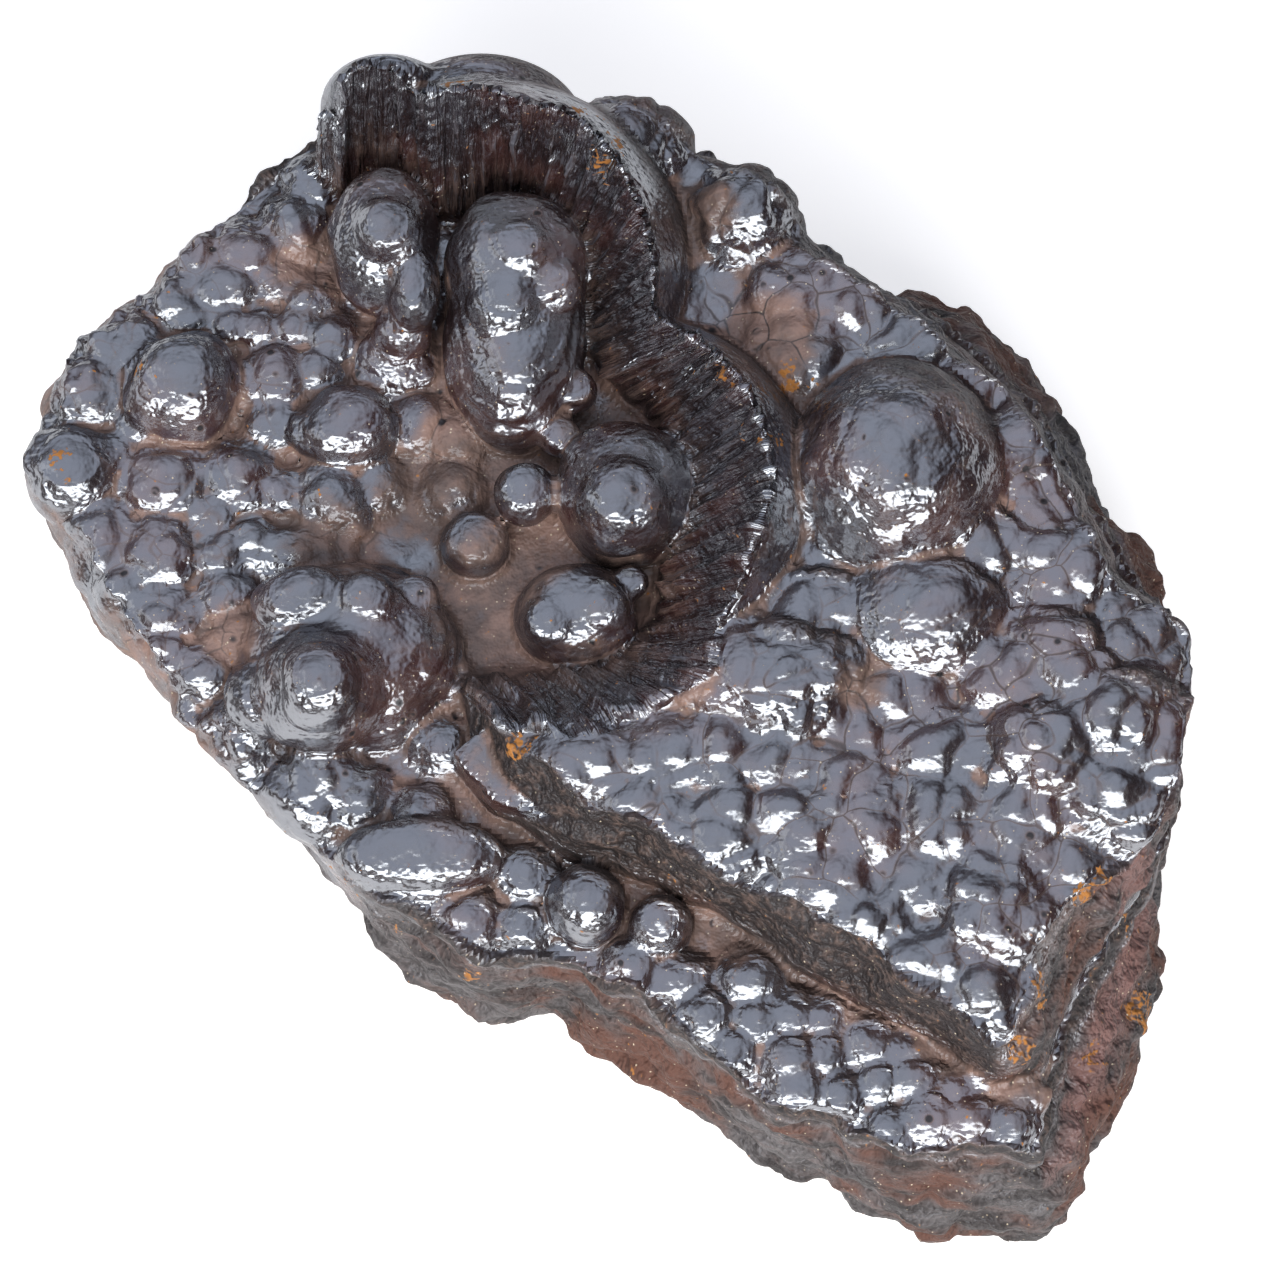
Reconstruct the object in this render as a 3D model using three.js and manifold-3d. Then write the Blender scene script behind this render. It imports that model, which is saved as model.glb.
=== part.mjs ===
// Botryoidal hematite hand specimen: kidney-ore crust on its own ironstone matrix.
// Units are millimetres, +Z is up. Places are given from a datum near the middle of the
// footprint; at the end the solid is moved so that its origin is the bottom centre of its box.

import * as THREE from 'three';
import { mergeVertices } from 'three/addons/utils/BufferGeometryUtils.js';
import Module from 'manifold-3d';

const wasm = await Module();
wasm.setup();

// Driving heights above the resting face.
const bottomZ = 0;
const toeZ = 3;
const waistZ = 11;
const lowerCrustZ = 20;
const craterFloorZ = 20.6;
const ledgeZ = 23.4;
const upperCrustZ = 28;
const crownZ = 36;
const cutTopZ = 46;
const buriedZ = 16;

// Broken faces, the hollow under the left edge and the columns in the crater walls.
const fractureDepth = 0.7;
const toeInset = 1.3;
const leftEdgeRound = 3.4;
const columnDepth = 0.42;
const columnsPerSpan = 2;

// Packed lumps: facet size of their blanket, height over plan radius, and groove between them.
const blanketStep = 2.5;
const lumpRise = 0.5;
const grooveDepth = 0.9;

// Sides of the block, anticlockwise from the front left corner.
// Each station: x, y at the toe, x, y at the waist, x, y at the edge of the lower crust.
const sideStations = [
  [-23.6, -16.9, -24.0, -18.0, -22.0, -20.4],
  [-21.7, -19.9, -21.6, -20.8, -19.8, -21.5],
  [-19.2, -22.4, -18.8, -22.8, -16.7, -22.8],
  [-16.3, -24.6, -16.0, -25.0, -15.0, -24.7],
  [-13.4, -26.4, -13.2, -26.6, -13.0, -26.1],
  [-11.0, -26.9, -11.0, -26.7, -11.2, -26.1],
  [-7.7, -26.1, -7.6, -25.4, -7.3, -25.7],
  [-6.5, -26.7, -5.6, -26.5, -4.5, -26.7],
  [-3.5, -29.7, -2.6, -28.9, -2.1, -28.4],
  [-0.3, -31.1, 0.1, -30.3, 0.0, -29.0],
  [3.2, -33.3, 3.3, -32.6, 3.2, -32.0],
  [6.5, -35.4, 6.4, -35.0, 6.0, -34.3],
  [9.7, -37.9, 9.6, -38.0, 9.2, -37.8],
  [12.9, -39.7, 12.4, -39.6, 11.9, -38.9],
  [15.3, -39.7, 15.1, -39.6, 14.8, -39.0],
  [17.6, -41.8, 17.6, -41.7, 17.5, -40.9],
  [20.8, -43.5, 20.5, -43.0, 19.7, -42.2],
  [24.0, -45.0, 23.6, -43.6, 22.9, -41.8],
  [28.0, -44.4, 27.4, -43.3, 26.5, -41.3],
  [31.2, -45.0, 30.4, -43.6, 29.0, -41.8],
  [33.8, -44.6, 33.0, -43.2, 31.0, -42.3],
  [35.0, -42.5, 34.9, -40.5, 31.4, -39.6],
  [36.5, -37.0, 36.2, -37.3, 31.6, -36.6],
  [39.0, -33.0, 37.9, -34.1, 32.6, -32.9],
  [40.0, -29.5, 39.2, -30.8, 34.0, -30.0],
  [41.0, -26.0, 40.2, -27.6, 35.6, -27.0],
  [42.0, -22.0, 41.5, -24.3, 37.2, -24.2],
  [41.0, -17.0, 41.0, -19.3, 39.6, -20.6],
  [41.5, -12.0, 42.0, -14.0, 42.2, -15.0],
  [42.2, -7.0, 43.0, -8.0, 43.2, -8.6],
  [42.8, -1.0, 43.5, -2.0, 43.5, -3.0],
  [43.3, 4.0, 43.6, 3.5, 42.6, 2.2],
  [43.2, 9.5, 42.5, 8.2, 39.6, 6.4],
  [41.5, 13.5, 41.5, 11.5, 37.8, 10.2],
  [39.0, 16.8, 38.0, 14.6, 36.0, 13.4],
  [37.5, 20.5, 37.0, 19.0, 34.0, 17.4],
  [36.2, 24.5, 35.6, 22.6, 32.6, 20.8],
  [34.2, 28.0, 33.6, 26.2, 29.8, 23.6],
  [32.0, 31.5, 30.8, 29.4, 27.4, 26.2],
  [28.4, 35.5, 27.6, 33.2, 24.2, 28.8],
  [24.5, 36.5, 24.6, 34.2, 20.8, 30.4],
  [21.0, 36.5, 21.3, 34.4, 17.8, 31.8],
  [16.0, 38.0, 16.2, 36.2, 14.6, 34.2],
  [11.0, 41.0, 11.8, 41.2, 11.3, 39.6],
  [5.0, 43.5, 5.5, 43.5, 6.0, 43.0],
  [-1.0, 45.0, -1.0, 46.0, -0.5, 46.0],
  [-7.0, 45.5, -7.5, 47.0, -7.5, 47.6],
  [-13.0, 45.0, -14.0, 47.0, -14.0, 47.8],
  [-19.0, 44.0, -20.0, 46.0, -20.0, 47.4],
  [-24.0, 42.0, -25.0, 44.5, -25.5, 46.8],
  [-27.0, 39.5, -29.0, 43.0, -29.5, 44.5],
  [-30.0, 35.5, -32.5, 39.5, -33.0, 40.5],
  [-33.0, 32.5, -35.5, 36.0, -36.0, 37.0],
  [-35.0, 29.5, -38.5, 34.0, -39.0, 35.5],
  [-36.5, 26.5, -40.5, 31.0, -40.5, 32.0],
  [-38.5, 24.0, -43.0, 29.0, -43.0, 30.0],
  [-40.0, 20.5, -47.0, 26.0, -47.0, 26.5],
  [-41.0, 16.5, -49.0, 21.0, -49.0, 21.5],
  [-41.0, 11.5, -49.5, 15.0, -49.5, 15.5],
  [-40.0, 7.0, -48.0, 10.5, -47.4, 11.2],
  [-38.5, 4.5, -46.5, 8.0, -46.0, 6.5],
  [-36.6, 2.0, -44.5, 4.5, -44.0, 2.6],
  [-34.5, -1.0, -41.2, 2.0, -40.8, -1.2],
  [-31.8, -3.8, -37.8, -1.2, -38.0, -5.0],
  [-29.5, -7.5, -34.5, -5.5, -34.5, -9.0],
  [-27.5, -10.5, -31.5, -8.5, -31.0, -12.0],
  [-25.8, -13.2, -28.5, -12.0, -28.0, -15.0],
  [-24.8, -15.2, -25.8, -15.2, -24.8, -18.2],
];

// Edge of the upper crust, anticlockwise from the tip of the diagonal break.
// Each station: x, y at the foot of its wall, x, y at its top.
const upperCrustStations = [
  [-12.0, -14.0, -9.0, -11.4],
  [-9.0, -16.0, -6.2, -14.0],
  [-6.0, -18.3, -3.6, -16.8],
  [-2.1, -18.8, -0.2, -17.9],
  [1.6, -20.5, 3.0, -19.8],
  [5.7, -22.8, 6.5, -22.4],
  [9.5, -25.0, 11.0, -23.6],
  [12.0, -27.2, 13.8, -25.8],
  [15.5, -28.8, 17.5, -27.9],
  [18.5, -30.6, 19.3, -30.1],
  [21.6, -32.2, 22.5, -32.0],
  [24.5, -34.2, 24.9, -33.9],
  [28.0, -36.6, 26.8, -35.9],
  [30.8, -35.8, 28.4, -34.4],
  [31.8, -33.0, 29.4, -31.6],
  [33.0, -30.4, 30.3, -28.8],
  [34.3, -27.6, 31.6, -26.0],
  [35.8, -25.2, 33.4, -23.8],
  [38.0, -22.0, 35.6, -21.9],
  [39.6, -20.0, 38.3, -20.7],
  [40.0, -18.0, 40.0, -19.0],
  [41.6, -14.5, 41.6, -15.5],
  [42.0, -9.5, 42.4, -10.7],
  [42.6, -4.5, 43.2, -6.0],
  [42.6, 0.0, 42.8, -2.0],
  [41.0, 3.5, 40.0, 0.2],
  [38.5, 5.5, 36.8, 1.8],
  [37.2, 9.0, 35.3, 6.1],
  [35.3, 13.0, 33.6, 11.2],
  [33.2, 17.0, 30.8, 14.8],
  [31.5, 20.8, 29.5, 18.0],
  [28.5, 23.6, 25.4, 20.4],
  [25.0, 27.0, 22.6, 23.6],
  [21.0, 30.0, 19.2, 26.8],
  [17.5, 32.8, 15.6, 29.0],
  [14.0, 35.5, 12.5, 32.0],
  [11.5, 39.8, 11.5, 36.5],
  [6.0, 42.0, 6.0, 38.5],
  [0.0, 45.4, 1.0, 41.0],
  [-7.0, 47.0, -5.0, 43.5],
  [-13.5, 47.0, -12.0, 45.5],
  [-19.5, 46.8, -19.0, 45.6],
  [-25.3, 46.2, -25.0, 45.8],
  [-27.5, 42.5, -26.5, 42.0],
];

// Path of the broken shells, from the back left fin round both craters to the front tip.
// Each station: x, y, z on the sharp rim, x, y where the wall meets the crater floor.
const rimStations = [
  [-34.0, 50.0, 34, -36.0, 47.0],
  [-26.4, 45.6, 34, -27.4, 41.6],
  [-24.9, 44.6, 34, -25.0, 39.6],
  [-22.8, 45.1, 34, -23.4, 41.0],
  [-20.6, 44.5, 34, -21.0, 41.2],
  [-18.9, 43.5, 34, -18.9, 39.6],
  [-16.8, 42.2, 34, -17.2, 37.2],
  [-14.5, 42.0, 34, -14.5, 37.5],
  [-12.0, 41.5, 34, -12.0, 38.6],
  [-9.1, 39.2, 34, -10.3, 38.4],
  [-6.6, 39.8, 34, -8.6, 37.4],
  [-4.1, 38.0, 34, -7.0, 35.4],
  [-2.3, 35.9, 34, -5.9, 33.6],
  [-1.1, 33.5, 34, -5.2, 32.0],
  [0.0, 31.2, 34, -4.8, 30.5],
  [1.1, 28.8, 34, -4.5, 29.0],
  [1.7, 27.0, 34, -4.4, 27.6],
  [1.6, 24.4, 33, -4.2, 25.9],
  [3.0, 21.4, 31, -3.2, 23.8],
  [4.7, 19.8, 33, -1.5, 21.5],
  [6.5, 18.7, 34, 0.5, 19.8],
  [7.8, 17.2, 34, 2.0, 17.8],
  [8.9, 14.4, 34, 2.9, 15.0],
  [9.8, 11.6, 34, 3.1, 12.0],
  [10.6, 8.7, 34, 2.8, 9.2],
  [10.1, 5.9, 34, 2.2, 7.0],
  [8.6, 2.5, 33, 1.8, 4.5],
  [7.8, 0.2, 32, 1.3, 2.2],
  [6.0, -2.6, 30, 0.2, -0.2],
  [4.3, -5.4, 29, -1.8, -1.6],
  [1.2, -8.4, 28, -4.0, -2.5],
  [-2.0, -9.8, 28, -7.0, -3.0],
  [-5.9, -10.4, 28, -10.0, -3.3],
  [-9.2, -10.6, 28, -13.7, -4.0],
  [-11.6, -13.4, 28, -16.4, -6.0],
  [-30.0, -30.0, 28, -30.0, -28.0],
];

// Far corners that close the broken-away region, clear of the specimen.
const openCorners = [
  [-75, -30],
  [-75, 62],
  [-34, 62],
];

// Domes that stand clear of the crusts: x, y, z of the centre, then the three radii.
const shellDomes = [
  [-12.5, 30.0, 22.4, 17.0, 17.0, 17.0],
  [-1.0, 10.0, 22.4, 15.8, 15.8, 15.8],
];
const upperDomes = [
  [-20.6, 44.7, 24.6, 5.8, 3.0, 8.6],
  [-13.0, 43.6, 23.5, 8.5, 5.5, 8.6],
  [-1.0, 40.5, 24.4, 5.5, 5.5, 5.6],
  [8.5, 34.0, 24.5, 4.8, 5.4, 6.6],
  [20.3, 11.2, 27.0, 8.7, 9.3, 9.6],
  [22.6, -0.6, 26.2, 7.2, 6.2, 5.8],
];
const lowerDomes = [
  [-37.3, 21.6, 20.2, 4.9, 4.9, 4.6],
  [-23.7, 18.2, 20.0, 4.1, 3.8, 3.6],
  [-46.0, 14.8, 18.6, 4.1, 4.1, 3.9],
  [-23.3, -1.4, 18.2, 9.2, 8.2, 7.2],
  [-25.1, -5.0, 22.6, 5.3, 5.3, 4.7],
  [-25.1, -6.0, 26.4, 3.4, 3.4, 3.1],
  [-26.8, 2.2, 23.0, 4.0, 3.0, 2.9],
  [-21.8, 1.6, 23.6, 2.6, 2.6, 2.3],
  [-29.4, -5.4, 20.8, 3.3, 3.3, 3.0],
  [-17.2, -18.2, 19.8, 6.8, 3.2, 2.9],
  [-4.3, -22.0, 20.4, 3.1, 3.3, 3.0],
  [1.6, -23.8, 20.0, 2.5, 2.5, 2.3],
  [-21.2, 34.0, 22.2, 4.6, 6.4, 4.8],
  [-20.3, 33.0, 26.0, 2.9, 2.9, 2.7],
  [-18.4, 29.0, 24.0, 2.2, 3.6, 3.0],
  [-10.2, 31.0, 23.2, 5.9, 6.6, 5.6],
  [-9.7, 31.2, 27.2, 2.6, 2.6, 2.3],
  [-10.8, 26.8, 25.4, 3.4, 3.2, 3.0],
  [-7.0, 28.6, 25.6, 2.5, 2.5, 2.4],
  [-10.2, 26.0, 20.4, 5.8, 9.8, 6.6],
  [-1.3, 9.8, 24.2, 4.1, 4.1, 4.0],
  [-1.0, 12.2, 21.0, 6.0, 6.0, 5.6],
  [-5.2, 1.8, 20.2, 5.0, 4.4, 3.9],
  [-9.1, 11.9, 21.6, 2.6, 2.6, 2.5],
];

// Packed lumps of each crust: x, y, radius along X, radius along Y (the same when left out)
// and how far the lump is lifted above its crust (nothing when left out).
const lowerLumps = [
  // left of the craters
  [-26.8, 17.7, 2.6, 2.4], [-43.3, 15.7, 2.6], [-38.5, 13.7, 3.8, 3.2], [-32.6, 14.2, 3.1],
  [-25.0, 12.4, 3.2], [-27.7, 7.7, 3.4, 2.4], [-43.0, 8.8, 2.6, 3.2], [-39.0, 7.4, 3.3],
  [-33.8, 7.4, 2.5], [-31.0, 8.4, 2.1], [-38.5, 2.4, 3.5, 2.5], [-38.3, -1.1, 2.3],
  [-35.2, -2.5, 2.3], [-32.7, 34.2, 3.0, 2.5], [-34.6, 31.0, 3.0, 2.4], [-30.0, 31.6, 2.1],
  [-37.2, 28.5, 2.4, 2.0], [-34.0, 27.8, 2.0], [-31.0, 27.2, 2.0], [-27.4, 29.4, 2.3],
  [-25.3, 26.0, 2.3], [-30.0, 22.7, 2.9], [-29.9, 18.8, 2.3], [-26.7, 23.0, 2.3],
  [-18.0, 18.8, 2.4], [-20.2, 25.4, 2.8, 2.6, 0.3], [-36.6, 33.6, 2.2], [-44.9, 21.6, 3.2],
  [-42.4, 25.4, 3.0], [-38.4, 30.0, 2.1], [-13.3, 8.2, 3.1, 2.9, 0.2], [-21.5, 13.6, 2.4],
  [-42.2, 4.4, 2.5], [-40.8, 18.6, 2.2], [-33.4, 3.4, 2.6], [-28.6, 36.6, 2.6],
  [-27.0, 40.4, 2.4], [-32.4, 0.4, 2.3], [-16.4, 13.4, 2.4],
  // round the big cluster
  [-18.0, 2.8, 2.4, 2.4, 0.6], [-31.8, -7.6, 2.6], [-25.3, -11.4, 3.0, 2.6],
  [-22.2, -13.0, 2.4], [-27.0, -13.8, 3.0, 2.2, -0.4], [-17.6, -14.0, 2.4],
  [-17.2, -21.6, 3.0, 1.8, -0.4], [-13.0, -23.2, 2.3], [-15.8, -8.6, 2.2],
  // shelf in front of the diagonal break
  [-9.2, -23.2, 2.0], [-8.9, -19.6, 2.2], [8.8, -28.0, 2.4], [3.0, -28.0, 2.4, 2.0],
  [5.0, -31.4, 2.2], [7.8, -33.8, 2.0], [9.6, -31.2, 2.0], [13.2, -30.8, 2.2],
  [11.7, -34.7, 2.3], [15.2, -34.0, 2.0], [18.4, -32.8, 2.2], [21.0, -34.8, 2.2],
  [12.3, -37.4, 2.0], [15.8, -37.4, 2.0], [18.8, -37.4, 2.0], [22.2, -38.8, 2.3],
  [25.6, -39.2, 2.1], [28.6, -39.4, 2.0], [26.2, -35.8, 2.3, 1.9], [-0.4, -27.0, 2.0],
  // crater floors
  [-19.4, 26.3, 2.4, 2.4, 0.8], [-5.2, 21.0, 2.2, 2.2, 0.8], [-6.5, 17.2, 2.1, 2.1, 0.5],
  [-7.1, 0.6, 2.6, 2.4, 2.9], [-3.3, 1.6, 2.6, 2.4, 3.0], [-0.7, 5.0, 1.9, 1.9, 0.8],
];
const upperLumps = [
  [29.9, 12.4, 4.6, 4.4, 1.0], [32.2, 8.2, 3.2, 3.4, 0.6], [33.6, 3.6, 4.4, 4.0, 1.4],
  [27.2, 5.0, 3.4, 3.0, 1.6], [21.5, 22.2, 5.0, 3.0, 0.4], [17.8, 25.6, 3.4, 3.2, 0.3],
  [13.2, 27.0, 3.4, 3.2], [13.6, 21.6, 3.8, 3.6, -0.4], [26.4, 18.6, 3.4, 2.8],
  [39.0, -2.8, 3.8, 3.6, 0.4], [28.6, -6.4, 3.6, 2.9, 1.0], [23.2, -11.6, 3.6, 3.0, 0.6],
  [32.8, -5.0, 4.2, 3.8, 2.2], [31.0, -12.6, 4.4, 4.2, 2.3], [36.6, -9.6, 4.4, 4.2, 2.6],
  [40.2, -12.4, 3.2, 4.0, 1.4], [36.0, -15.8, 4.0, 3.2, 1.6], [11.2, -6.6, 5.6, 4.7, 1.4],
  [14.0, 0.2, 3.6, 3.0, 0.6], [20.4, -7.6, 3.4, 2.6], [16.6, -10.0, 3.2, 2.6],
  [10.6, -12.6, 3.4, 2.6, 0.4], [15.8, -13.8, 3.2, 2.7, 0.3], [12.4, -17.8, 3.8, 3.2, 0.4],
  [18.0, -18.2, 3.2, 3.4, 0.2], [22.6, -17.2, 3.4, 4.0, 0.4], [20.8, -22.2, 3.2, 2.6],
  [14.2, -22.4, 3.2, 2.4], [17.6, -25.4, 3.2, 2.4], [27.2, -24.4, 4.0, 4.6, 0.6],
  [21.8, -28.8, 3.2, 2.6], [26.0, -31.0, 3.0, 2.8], [-3.6, -12.8, 3.6, 2.2, -0.4],
  [1.8, -12.8, 3.2, 2.6], [6.4, -12.4, 2.8, 3.0, 0.2], [1.4, -16.6, 3.4, 2.2, -0.2],
  [6.4, -18.2, 3.4, 3.0], [29.0, -18.2, 3.8, 3.6, 0.4], [32.4, -21.6, 3.2, 2.8],
  [14.8, 6.0, 3.2, 3.6, -0.4],
];

// A low step at the tip of the diagonal break: plan outline of its flat top.
const ledgeOutline = [
  [-15.0, -10.4], [-11.6, -14.4], [-7.5, -16.2], [-3.6, -17.6], [-3.0, -13.0], [-11.0, -8.0],
];

const hematite = new THREE.MeshStandardMaterial({
  color: 0x5d6170,
  roughness: 0.28,
  metalness: 0.85,
});

function toSolid(geometry) {
  const bare = geometry.index ? geometry.toNonIndexed() : geometry.clone();
  bare.deleteAttribute('normal');
  bare.deleteAttribute('uv');
  const welded = mergeVertices(bare, 1e-4);
  return new wasm.Manifold(new wasm.Mesh({
    numProp: 3,
    vertProperties: new Float32Array(welded.attributes.position.array),
    triVerts: new Uint32Array(welded.index.array),
  }));
}

function toGeometry(solid) {
  const { vertProperties, triVerts } = solid.getMesh();
  const geometry = new THREE.BufferGeometry();
  geometry.setAttribute('position', new THREE.BufferAttribute(new Float32Array(vertProperties), 3));
  geometry.setIndex(new THREE.BufferAttribute(new Uint32Array(triVerts), 1));
  return geometry;
}

// Closed solid through stacked rings of [x, y, z] with equal counts, lowest ring first.
function loftSolid(rings) {
  const count = rings[0].length;
  const index = [];
  for (let level = 0; level < rings.length - 1; level++) {
    for (let i = 0; i < count; i++) {
      const a = level * count + i;
      const b = level * count + (i + 1) % count;
      index.push(a, b, b + count, a, b + count, a + count);
    }
  }
  const capTriangles = (ring) => {
    const outline = ring.map(([x, y]) => new THREE.Vector2(x, y));
    return THREE.ShapeUtils.triangulateShape(outline, []);
  };
  const last = (rings.length - 1) * count;
  for (const [a, b, c] of capTriangles(rings[0])) {
    index.push(a, c, b);
  }
  for (const [a, b, c] of capTriangles(rings.at(-1))) {
    index.push(last + a, last + b, last + c);
  }
  const geometry = new THREE.BufferGeometry();
  geometry.setAttribute('position', new THREE.Float32BufferAttribute(rings.flat(2), 3));
  geometry.setIndex(index);
  return toSolid(geometry);
}

// Repeatable unevenness between -1 and 1 for broken stone.
function unevenness(i, j) {
  return Math.sin(i * 12.99 + j * 78.23 + Math.sin(i * 4.1 - j * 2.7) * 3);
}

function mix(a, b, t) {
  return a + (b - a) * t;
}

function dome([x, y, z, rx, ry, rz]) {
  const size = Math.max(rx, ry);
  const detail = size > 12 ? 4 : size > 6 ? 3 : size > 3.6 ? 2 : 1;
  const geometry = new THREE.IcosahedronGeometry(1, detail);
  geometry.rotateZ(x * 1.7 + y);
  geometry.scale(rx, ry, rz);
  geometry.translate(x, y, z);
  return toSolid(geometry);
}

// Packed lumps are shallow caps; where two meet, the higher one hides the other.
function crustHeight(lumps, level, x, y) {
  let height = level - grooveDepth;
  for (const [cx, cy, rx, ry = rx, lift = 0] of lumps) {
    const away = ((x - cx) / rx) ** 2 + ((y - cy) / ry) ** 2;
    height = Math.max(height, level + lift + Math.min(rx, ry) * lumpRise * (1 - away));
  }
  return height;
}

// A block from below the resting face up to the lumpy top of one crust.
function crustBlanket(lumps, level) {
  const side = 104;
  const steps = Math.round(side / blanketStep);
  const geometry = new THREE.BoxGeometry(side, side, 2, steps, steps, 1);
  const position = geometry.attributes.position;
  for (let i = 0; i < position.count; i++) {
    const top = position.getZ(i) > 0;
    const z = top ? crustHeight(lumps, level, position.getX(i), position.getY(i)) : bottomZ - 1;
    position.setZ(i, z);
  }
  return toSolid(geometry);
}

function joined(solids) {
  return wasm.Manifold.union(solids);
}

// The block under the lower crust: uneven broken sides, one flat resting face, lumpy top.
// The botryoidal left side has its edge rounded in; the other sides end in a sharp break.
function lowerBlock() {
  const levels = [
    { z: bottomZ, from: 0, to: 0, t: 0, inset: toeInset },
    { z: toeZ, from: 0, to: 0, t: 0 },
    { z: mix(toeZ, waistZ, 0.5), from: 0, to: 2, t: 0.5 },
    { z: waistZ, from: 2, to: 2, t: 0 },
    { z: mix(waistZ, lowerCrustZ, 0.5), from: 2, to: 4, t: 0.5 },
    { z: lowerCrustZ - 2, from: 4, to: 4, t: 0 },
    { z: lowerCrustZ + 3, from: 4, to: 4, t: 0, leftInset: leftEdgeRound },
  ];
  const rings = levels.map(({ z, from, to, t, inset = 0, leftInset = 0 }, level) => (
    sideStations.map((row, i) => {
      const x = mix(row[from], row[to], t);
      const y = mix(row[from + 1], row[to + 1], t);
      const reach = Math.hypot(x, y);
      const rough = level > 1 && level < 5 ? fractureDepth * unevenness(i, level) : 0;
      const rounded = x < -24 ? leftInset : 0;
      const scale = (reach + rough - inset - rounded) / reach;
      return [x * scale, y * scale, z];
    })
  ));
  return loftSolid(rings).intersect(crustBlanket(lowerLumps, lowerCrustZ));
}

// The thicker crust on the right, with the steep diagonal break along its left edge.
function upperCrust() {
  const heights = [buriedZ, lowerCrustZ, mix(lowerCrustZ, upperCrustZ, 0.5), upperCrustZ, crownZ];
  const rings = heights.map((z, level) => upperCrustStations.map(([fx, fy, tx, ty], i) => {
    const t = THREE.MathUtils.clamp((z - lowerCrustZ) / (upperCrustZ - lowerCrustZ), 0, 1);
    const rough = level === 2 ? fractureDepth * unevenness(i, level) : 0;
    const x = mix(fx, tx, t) - 12;
    const y = mix(fy, ty, t);
    const scale = (Math.hypot(x, y) + rough) / Math.hypot(x, y);
    return [12 + x * scale, y * scale, z];
  }));
  return loftSolid(rings).intersect(crustBlanket(upperLumps, upperCrustZ));
}

// Everything the broken shells leave open: its wall is fluted by the hematite columns.
function brokenAway() {
  const heights = [buriedZ - 1, craterFloorZ, mix(craterFloorZ, upperCrustZ, 0.8), cutTopZ];
  const rings = heights.map(() => []);
  rimStations.slice(0, -1).forEach(([ax, ay, az, afx, afy], i) => {
    const [bx, by, bz, bfx, bfy] = rimStations[i + 1];
    const span = Math.hypot(bx - ax, by - ay);
    const columns = span > 6 ? 1 : columnsPerSpan;
    for (let k = 0; k < columns; k++) {
      const along = k / columns;
      const rim = [mix(ax, bx, along), mix(ay, by, along), mix(az, bz, along)];
      const foot = [mix(afx, bfx, along), mix(afy, bfy, along)];
      const flute = columns > 1 ? columnDepth * (k % 2 === 0 ? 1 : -1) : 0;
      const push = flute * (1 + 0.6 * unevenness(i, k));
      heights.forEach((z, level) => {
        const up = (z - craterFloorZ) / (rim[2] - craterFloorZ);
        const x = mix(foot[0], rim[0], up) - push * (by - ay) / span;
        const y = mix(foot[1], rim[1], up) - push * (ax - bx) / span;
        rings[level].push([x, y, z]);
      });
    }
  });
  heights.forEach((z, level) => {
    for (const [x, y] of openCorners) {
      rings[level].push([x, y, z]);
    }
    rings[level].reverse();
  });
  return loftSolid(rings);
}

function ledge() {
  const ring = (z, inset) => ledgeOutline.map(([x, y]) => [x - inset, y - inset, z]);
  return loftSolid([ring(buriedZ, 0.8), ring(ledgeZ, 0)]);
}

function specimenSolid() {
  const raised = joined([upperCrust(), ...shellDomes.map(dome), ...upperDomes.map(dome)]);
  return joined([
    lowerBlock(),
    raised.subtract(brokenAway()),
    ledge(),
    ...lowerDomes.map(dome),
  ]);
}

const specimenGeometry = toGeometry(specimenSolid());
specimenGeometry.computeBoundingBox();
const box = specimenGeometry.boundingBox;
specimenGeometry.translate(-(box.min.x + box.max.x) / 2, -(box.min.y + box.max.y) / 2, -box.min.z);

const specimen = new THREE.Mesh(specimenGeometry, hematite);
specimen.name = 'hematite_specimen';

const group = new THREE.Group();
group.name = 'botryoidal_hematite';
group.add(specimen);

export default group;
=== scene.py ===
import math
import time

import bpy
import numpy as np
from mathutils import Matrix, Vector


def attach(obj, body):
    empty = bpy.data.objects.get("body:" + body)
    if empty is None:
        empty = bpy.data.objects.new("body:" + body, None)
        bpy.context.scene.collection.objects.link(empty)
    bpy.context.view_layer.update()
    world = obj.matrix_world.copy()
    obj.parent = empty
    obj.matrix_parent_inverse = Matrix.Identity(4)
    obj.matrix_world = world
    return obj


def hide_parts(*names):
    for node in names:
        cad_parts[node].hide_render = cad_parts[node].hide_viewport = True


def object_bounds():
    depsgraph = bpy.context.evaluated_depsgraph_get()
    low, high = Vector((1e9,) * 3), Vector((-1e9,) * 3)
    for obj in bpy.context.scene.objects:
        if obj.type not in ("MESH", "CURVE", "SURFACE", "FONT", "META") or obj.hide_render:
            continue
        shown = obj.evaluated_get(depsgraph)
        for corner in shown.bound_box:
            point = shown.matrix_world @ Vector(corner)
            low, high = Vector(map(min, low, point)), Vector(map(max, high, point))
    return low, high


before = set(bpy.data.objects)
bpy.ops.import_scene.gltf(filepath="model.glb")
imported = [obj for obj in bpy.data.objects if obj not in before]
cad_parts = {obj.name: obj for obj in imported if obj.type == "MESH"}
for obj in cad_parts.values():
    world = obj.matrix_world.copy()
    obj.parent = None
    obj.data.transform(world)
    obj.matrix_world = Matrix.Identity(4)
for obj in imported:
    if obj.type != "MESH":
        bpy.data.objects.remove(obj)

startTime = time.time()
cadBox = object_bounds()


def report(stage):
    print(f"[{time.time() - startTime:6.1f} s] {stage}")


# The specimen is laid out in millimetres from a datum near the middle of its footprint.
layout = {
    "datum": (2.860, -2.045, 0.0),  # from the datum to the bottom centre of the box, in mm
    "metres": 0.001,
    "step": 0.42,  # spacing of the sculpting grid
    "outlineStep": 1.2,  # spacing of the grid on which outlines are measured
    "low": (-51.4, -47.2, -1.2),
    "high": (46.0, 50.4, 38.6),
    "baseCut": 0.45,  # points lower than this lie in the flat base
}

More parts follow.
